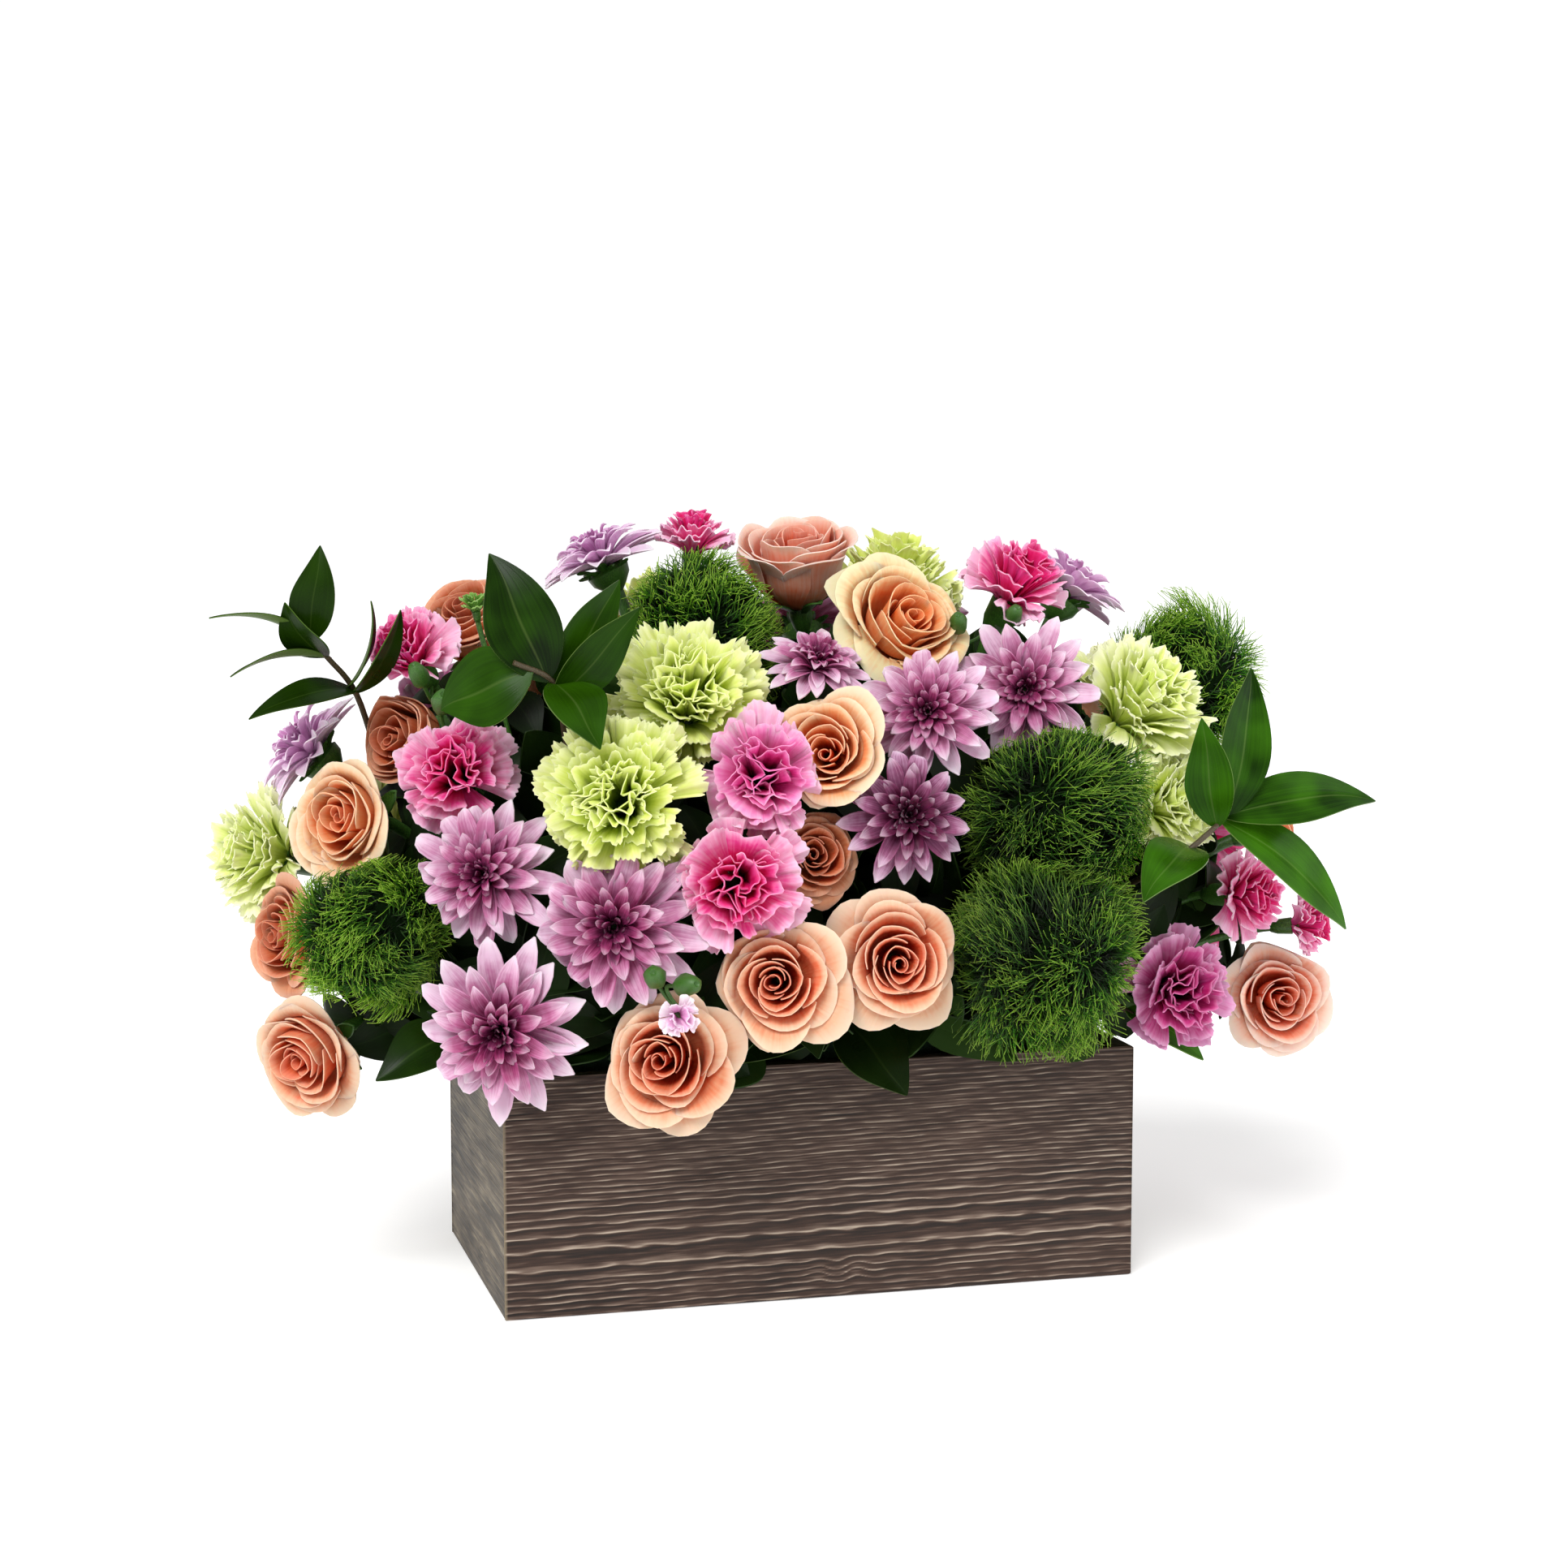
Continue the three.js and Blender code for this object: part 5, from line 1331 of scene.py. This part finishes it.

# ---------------------------------------------------------------- leaves on the stems
# Rose and chrysanthemum leaves left on the stems under the heads, and a few of ruscus, fill the
# bouquet's inside: dark, a little folded, and held in behind the blooms.
LEAVES_A_STEM = 6  # on a stem with one head, and round each head
LEAVES_A_HEAD = 5
INNER_LEAVES = 190
RIM_LEAVES = 48
STEM_LEAF_TRIES = 6  # draws before a leaf is left out
BED_LEAF_TRIES = 5
LOWEST_LEAF = 80
OVER_BOX = 2  # a leaf no farther out than this past the box's sides passes over its rim
DOME_CORE = (0, 0, 125)  # what the bouquet spreads out from, and what its stems lean away from
STEM_CORE = (0, 0, 100)
GOLDEN_TURN = 2.39996  # radians from one inner leaf to the next, which never line up
BEHIND = 0.97  # where a leaf is held back, as a part of how far out the blooms stand
CLEAR_FACE = 0.95  # a leaf keeps this many radii off another head, but for that head's back
CLEAR_BACK = -0.25
FILL_THICK = 0.6
FILL_STEPS = (13, 7)  # grid points along a leaf and across it
# Near black: partly the foliage's own dark green, partly painted shade in the deep gaps between the
# blooms.
fill_leaf = leaf_finish("stem_leaf_skin", "071202", "183008", "34501E", 0.15, 0.5, 0.14)


def dome_reach(way):
    """How far out from the bouquet's core leaves may show, by the blooms in that direction."""
    centres = np.array([h["centre"] for h in heads]) - DOME_CORE
    alike = np.exp(14 * (way @ unit(centres).T - 1))
    reach = np.linalg.norm(centres, axis=1)
    return (alike @ reach) / alike.sum(1)


def held_in(sheet):
    """A leaf's points, kept behind the blooms and out of the box."""
    flat = sheet.reshape(-1, 3)
    way = unit(flat - DOME_CORE)
    reach = dome_reach(way)
    far = np.linalg.norm(flat - DOME_CORE, axis=1)
    kept = np.minimum(far, reach * BEHIND + 0.15 * np.maximum(0, far - reach * BEHIND))
    flat = DOME_CORE + way * kept[:, None]
    over_box = np.all(np.abs(flat[:, :2]) < np.add(BOX_HALF, OVER_BOX), axis=1)
    flat[:, 2] = np.where(over_box, np.maximum(flat[:, 2], BOX_HEIGHT + 1), flat[:, 2])
    return flat.reshape(sheet.shape)


def clear_of(sheet, own):
    """Whether a leaf keeps out of the other heads' faces and does not hang down outside the box."""
    flat = sheet.reshape(-1, 3)
    if flat[:, 2].min() < LOWEST_LEAF:
        return False
    for head in heads:
        if head["name"] == own or head["size"] < SMALL_BUD:
            continue
        off = flat - head["centre"]
        up = off @ head["axis"] / head["size"]
        out = np.linalg.norm(off, axis=1) / head["size"]
        if np.any((out < CLEAR_FACE) & (up > CLEAR_BACK)):
            return False
    return True


def grown(tries, seed, own, draw, *known):
    """A leaf from the first draw that keeps clear of the flowers' faces, or none."""
    for _ in range(tries):
        sheet = held_in(leaf_grid(*draw(*known), seed, *FILL_STEPS))
        if clear_of(sheet, own):
            return [sheet]
    return []


def stem_leaf(line, rng):
    """On the stem, anywhere under the head."""
    top, low = line[3], line[-1]
    root = between(top, low, rng.uniform(0.05, 0.75))
    outward = unit(root - STEM_CORE)
    way = unit(unit(top - low) * 0.5 + outward * 0.5 + 0.75 * rng.normal(size=3))
    way[2] = max(way[2], -0.3)
    tip = root + way * rng.uniform(34, 48)
    up = outward + 0.5 * rng.normal(size=3)
    return root, tip, rng.uniform(11, 15), up


def collar_leaf(head, line, k, rng):
    """One of a ring just under the head."""
    side, other, face = facing(head["axis"])
    a = turn_of(k, LEAVES_A_HEAD, rng, 0.5)
    way = side * math.cos(a) + other * math.sin(a) + face * rng.uniform(-0.4, 0.1)
    root = line[2] - face * rng.uniform(0, 5)
    tip = root + unit(way) * head["size"] * rng.uniform(0.95, 1.35)
    up = face + 0.25 * rng.normal(size=3)
    return root, tip, head["size"] * rng.uniform(0.28, 0.4), up


def inner_leaf(k, rng):
    """Spread evenly over the dome, between the stems, a little below the flowers."""
    level = 1 - 1.35 * (k + 0.5) / INNER_LEAVES
    turn = GOLDEN_TURN * k
    flat = math.sqrt(max(0, 1 - level**2))
    way = np.array((flat * math.cos(turn), flat * math.sin(turn), level))
    way = unit(way + 0.12 * rng.normal(size=3))
    reach = dome_reach(way[None])[0]
    aim = unit(way + 0.45 * rng.normal(size=3))
    root = DOME_CORE + way * reach * 0.5
    tip = root + aim * reach * rng.uniform(0.28, 0.4)
    return root, tip, rng.uniform(12, 16), way + 0.5 * rng.normal(size=3)


def rim_leaf(k, rng):
    """Pushed into the edge of the foam, lying out over the rim of the box."""
    turn = turn_of(k, RIM_LEAVES, rng, 0.4)
    way = np.array((math.cos(turn), math.sin(turn), 0))
    edge = min(FOAM_HALF[0] / max(abs(way[0]), 1e-6), FOAM_HALF[1] / max(abs(way[1]), 1e-6))
    root = way * (edge - 3) + np.array((0, 0, rng.uniform(97, 109)))
    out = way * (0.7, 1, 0) + 0.35 * rng.normal(size=3) * (1, 1, 0.3)
    out = unit(np.maximum(out, (-9, -9, -0.12)))
    tip = root + out * rng.uniform(28, 40)
    return root, tip, rng.uniform(10, 13), np.array((0, 0, 1)) + 0.3 * rng.normal(size=3)


for node, lines in stem_lines.items():
    rng = seeded(node + "_leaves")
    sheets = []
    own = [h for h in heads if h["node"] == node]
    wanted = LEAVES_A_STEM if len(lines) == 1 else LEAVES_A_STEM // 2
    for head, line in zip(own, lines):
        if head["size"] < SMALL_BUD:
            continue
        for k in range(wanted + LEAVES_A_HEAD):
            kind = (stem_leaf, line, rng) if k < wanted else (collar_leaf, head, line, k, rng)
            sheets += grown(STEM_LEAF_TRIES, f"{node}_{k}", head["name"], *kind)
    if sheets:
        lay_leaves(node + "_leaves", node, sheets, FILL_THICK, fill_leaf)
for name, count, leaf in (
    ("inner_leaves", INNER_LEAVES, inner_leaf), ("rim_leaves", RIM_LEAVES, rim_leaf),
):
    rng = seeded(name)
    sheets = []
    for k in range(count):
        sheets += grown(BED_LEAF_TRIES, f"{name}_{k}", None, leaf, k, rng)
    lay_leaves(name, name, sheets, FILL_THICK, fill_leaf)

low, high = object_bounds()
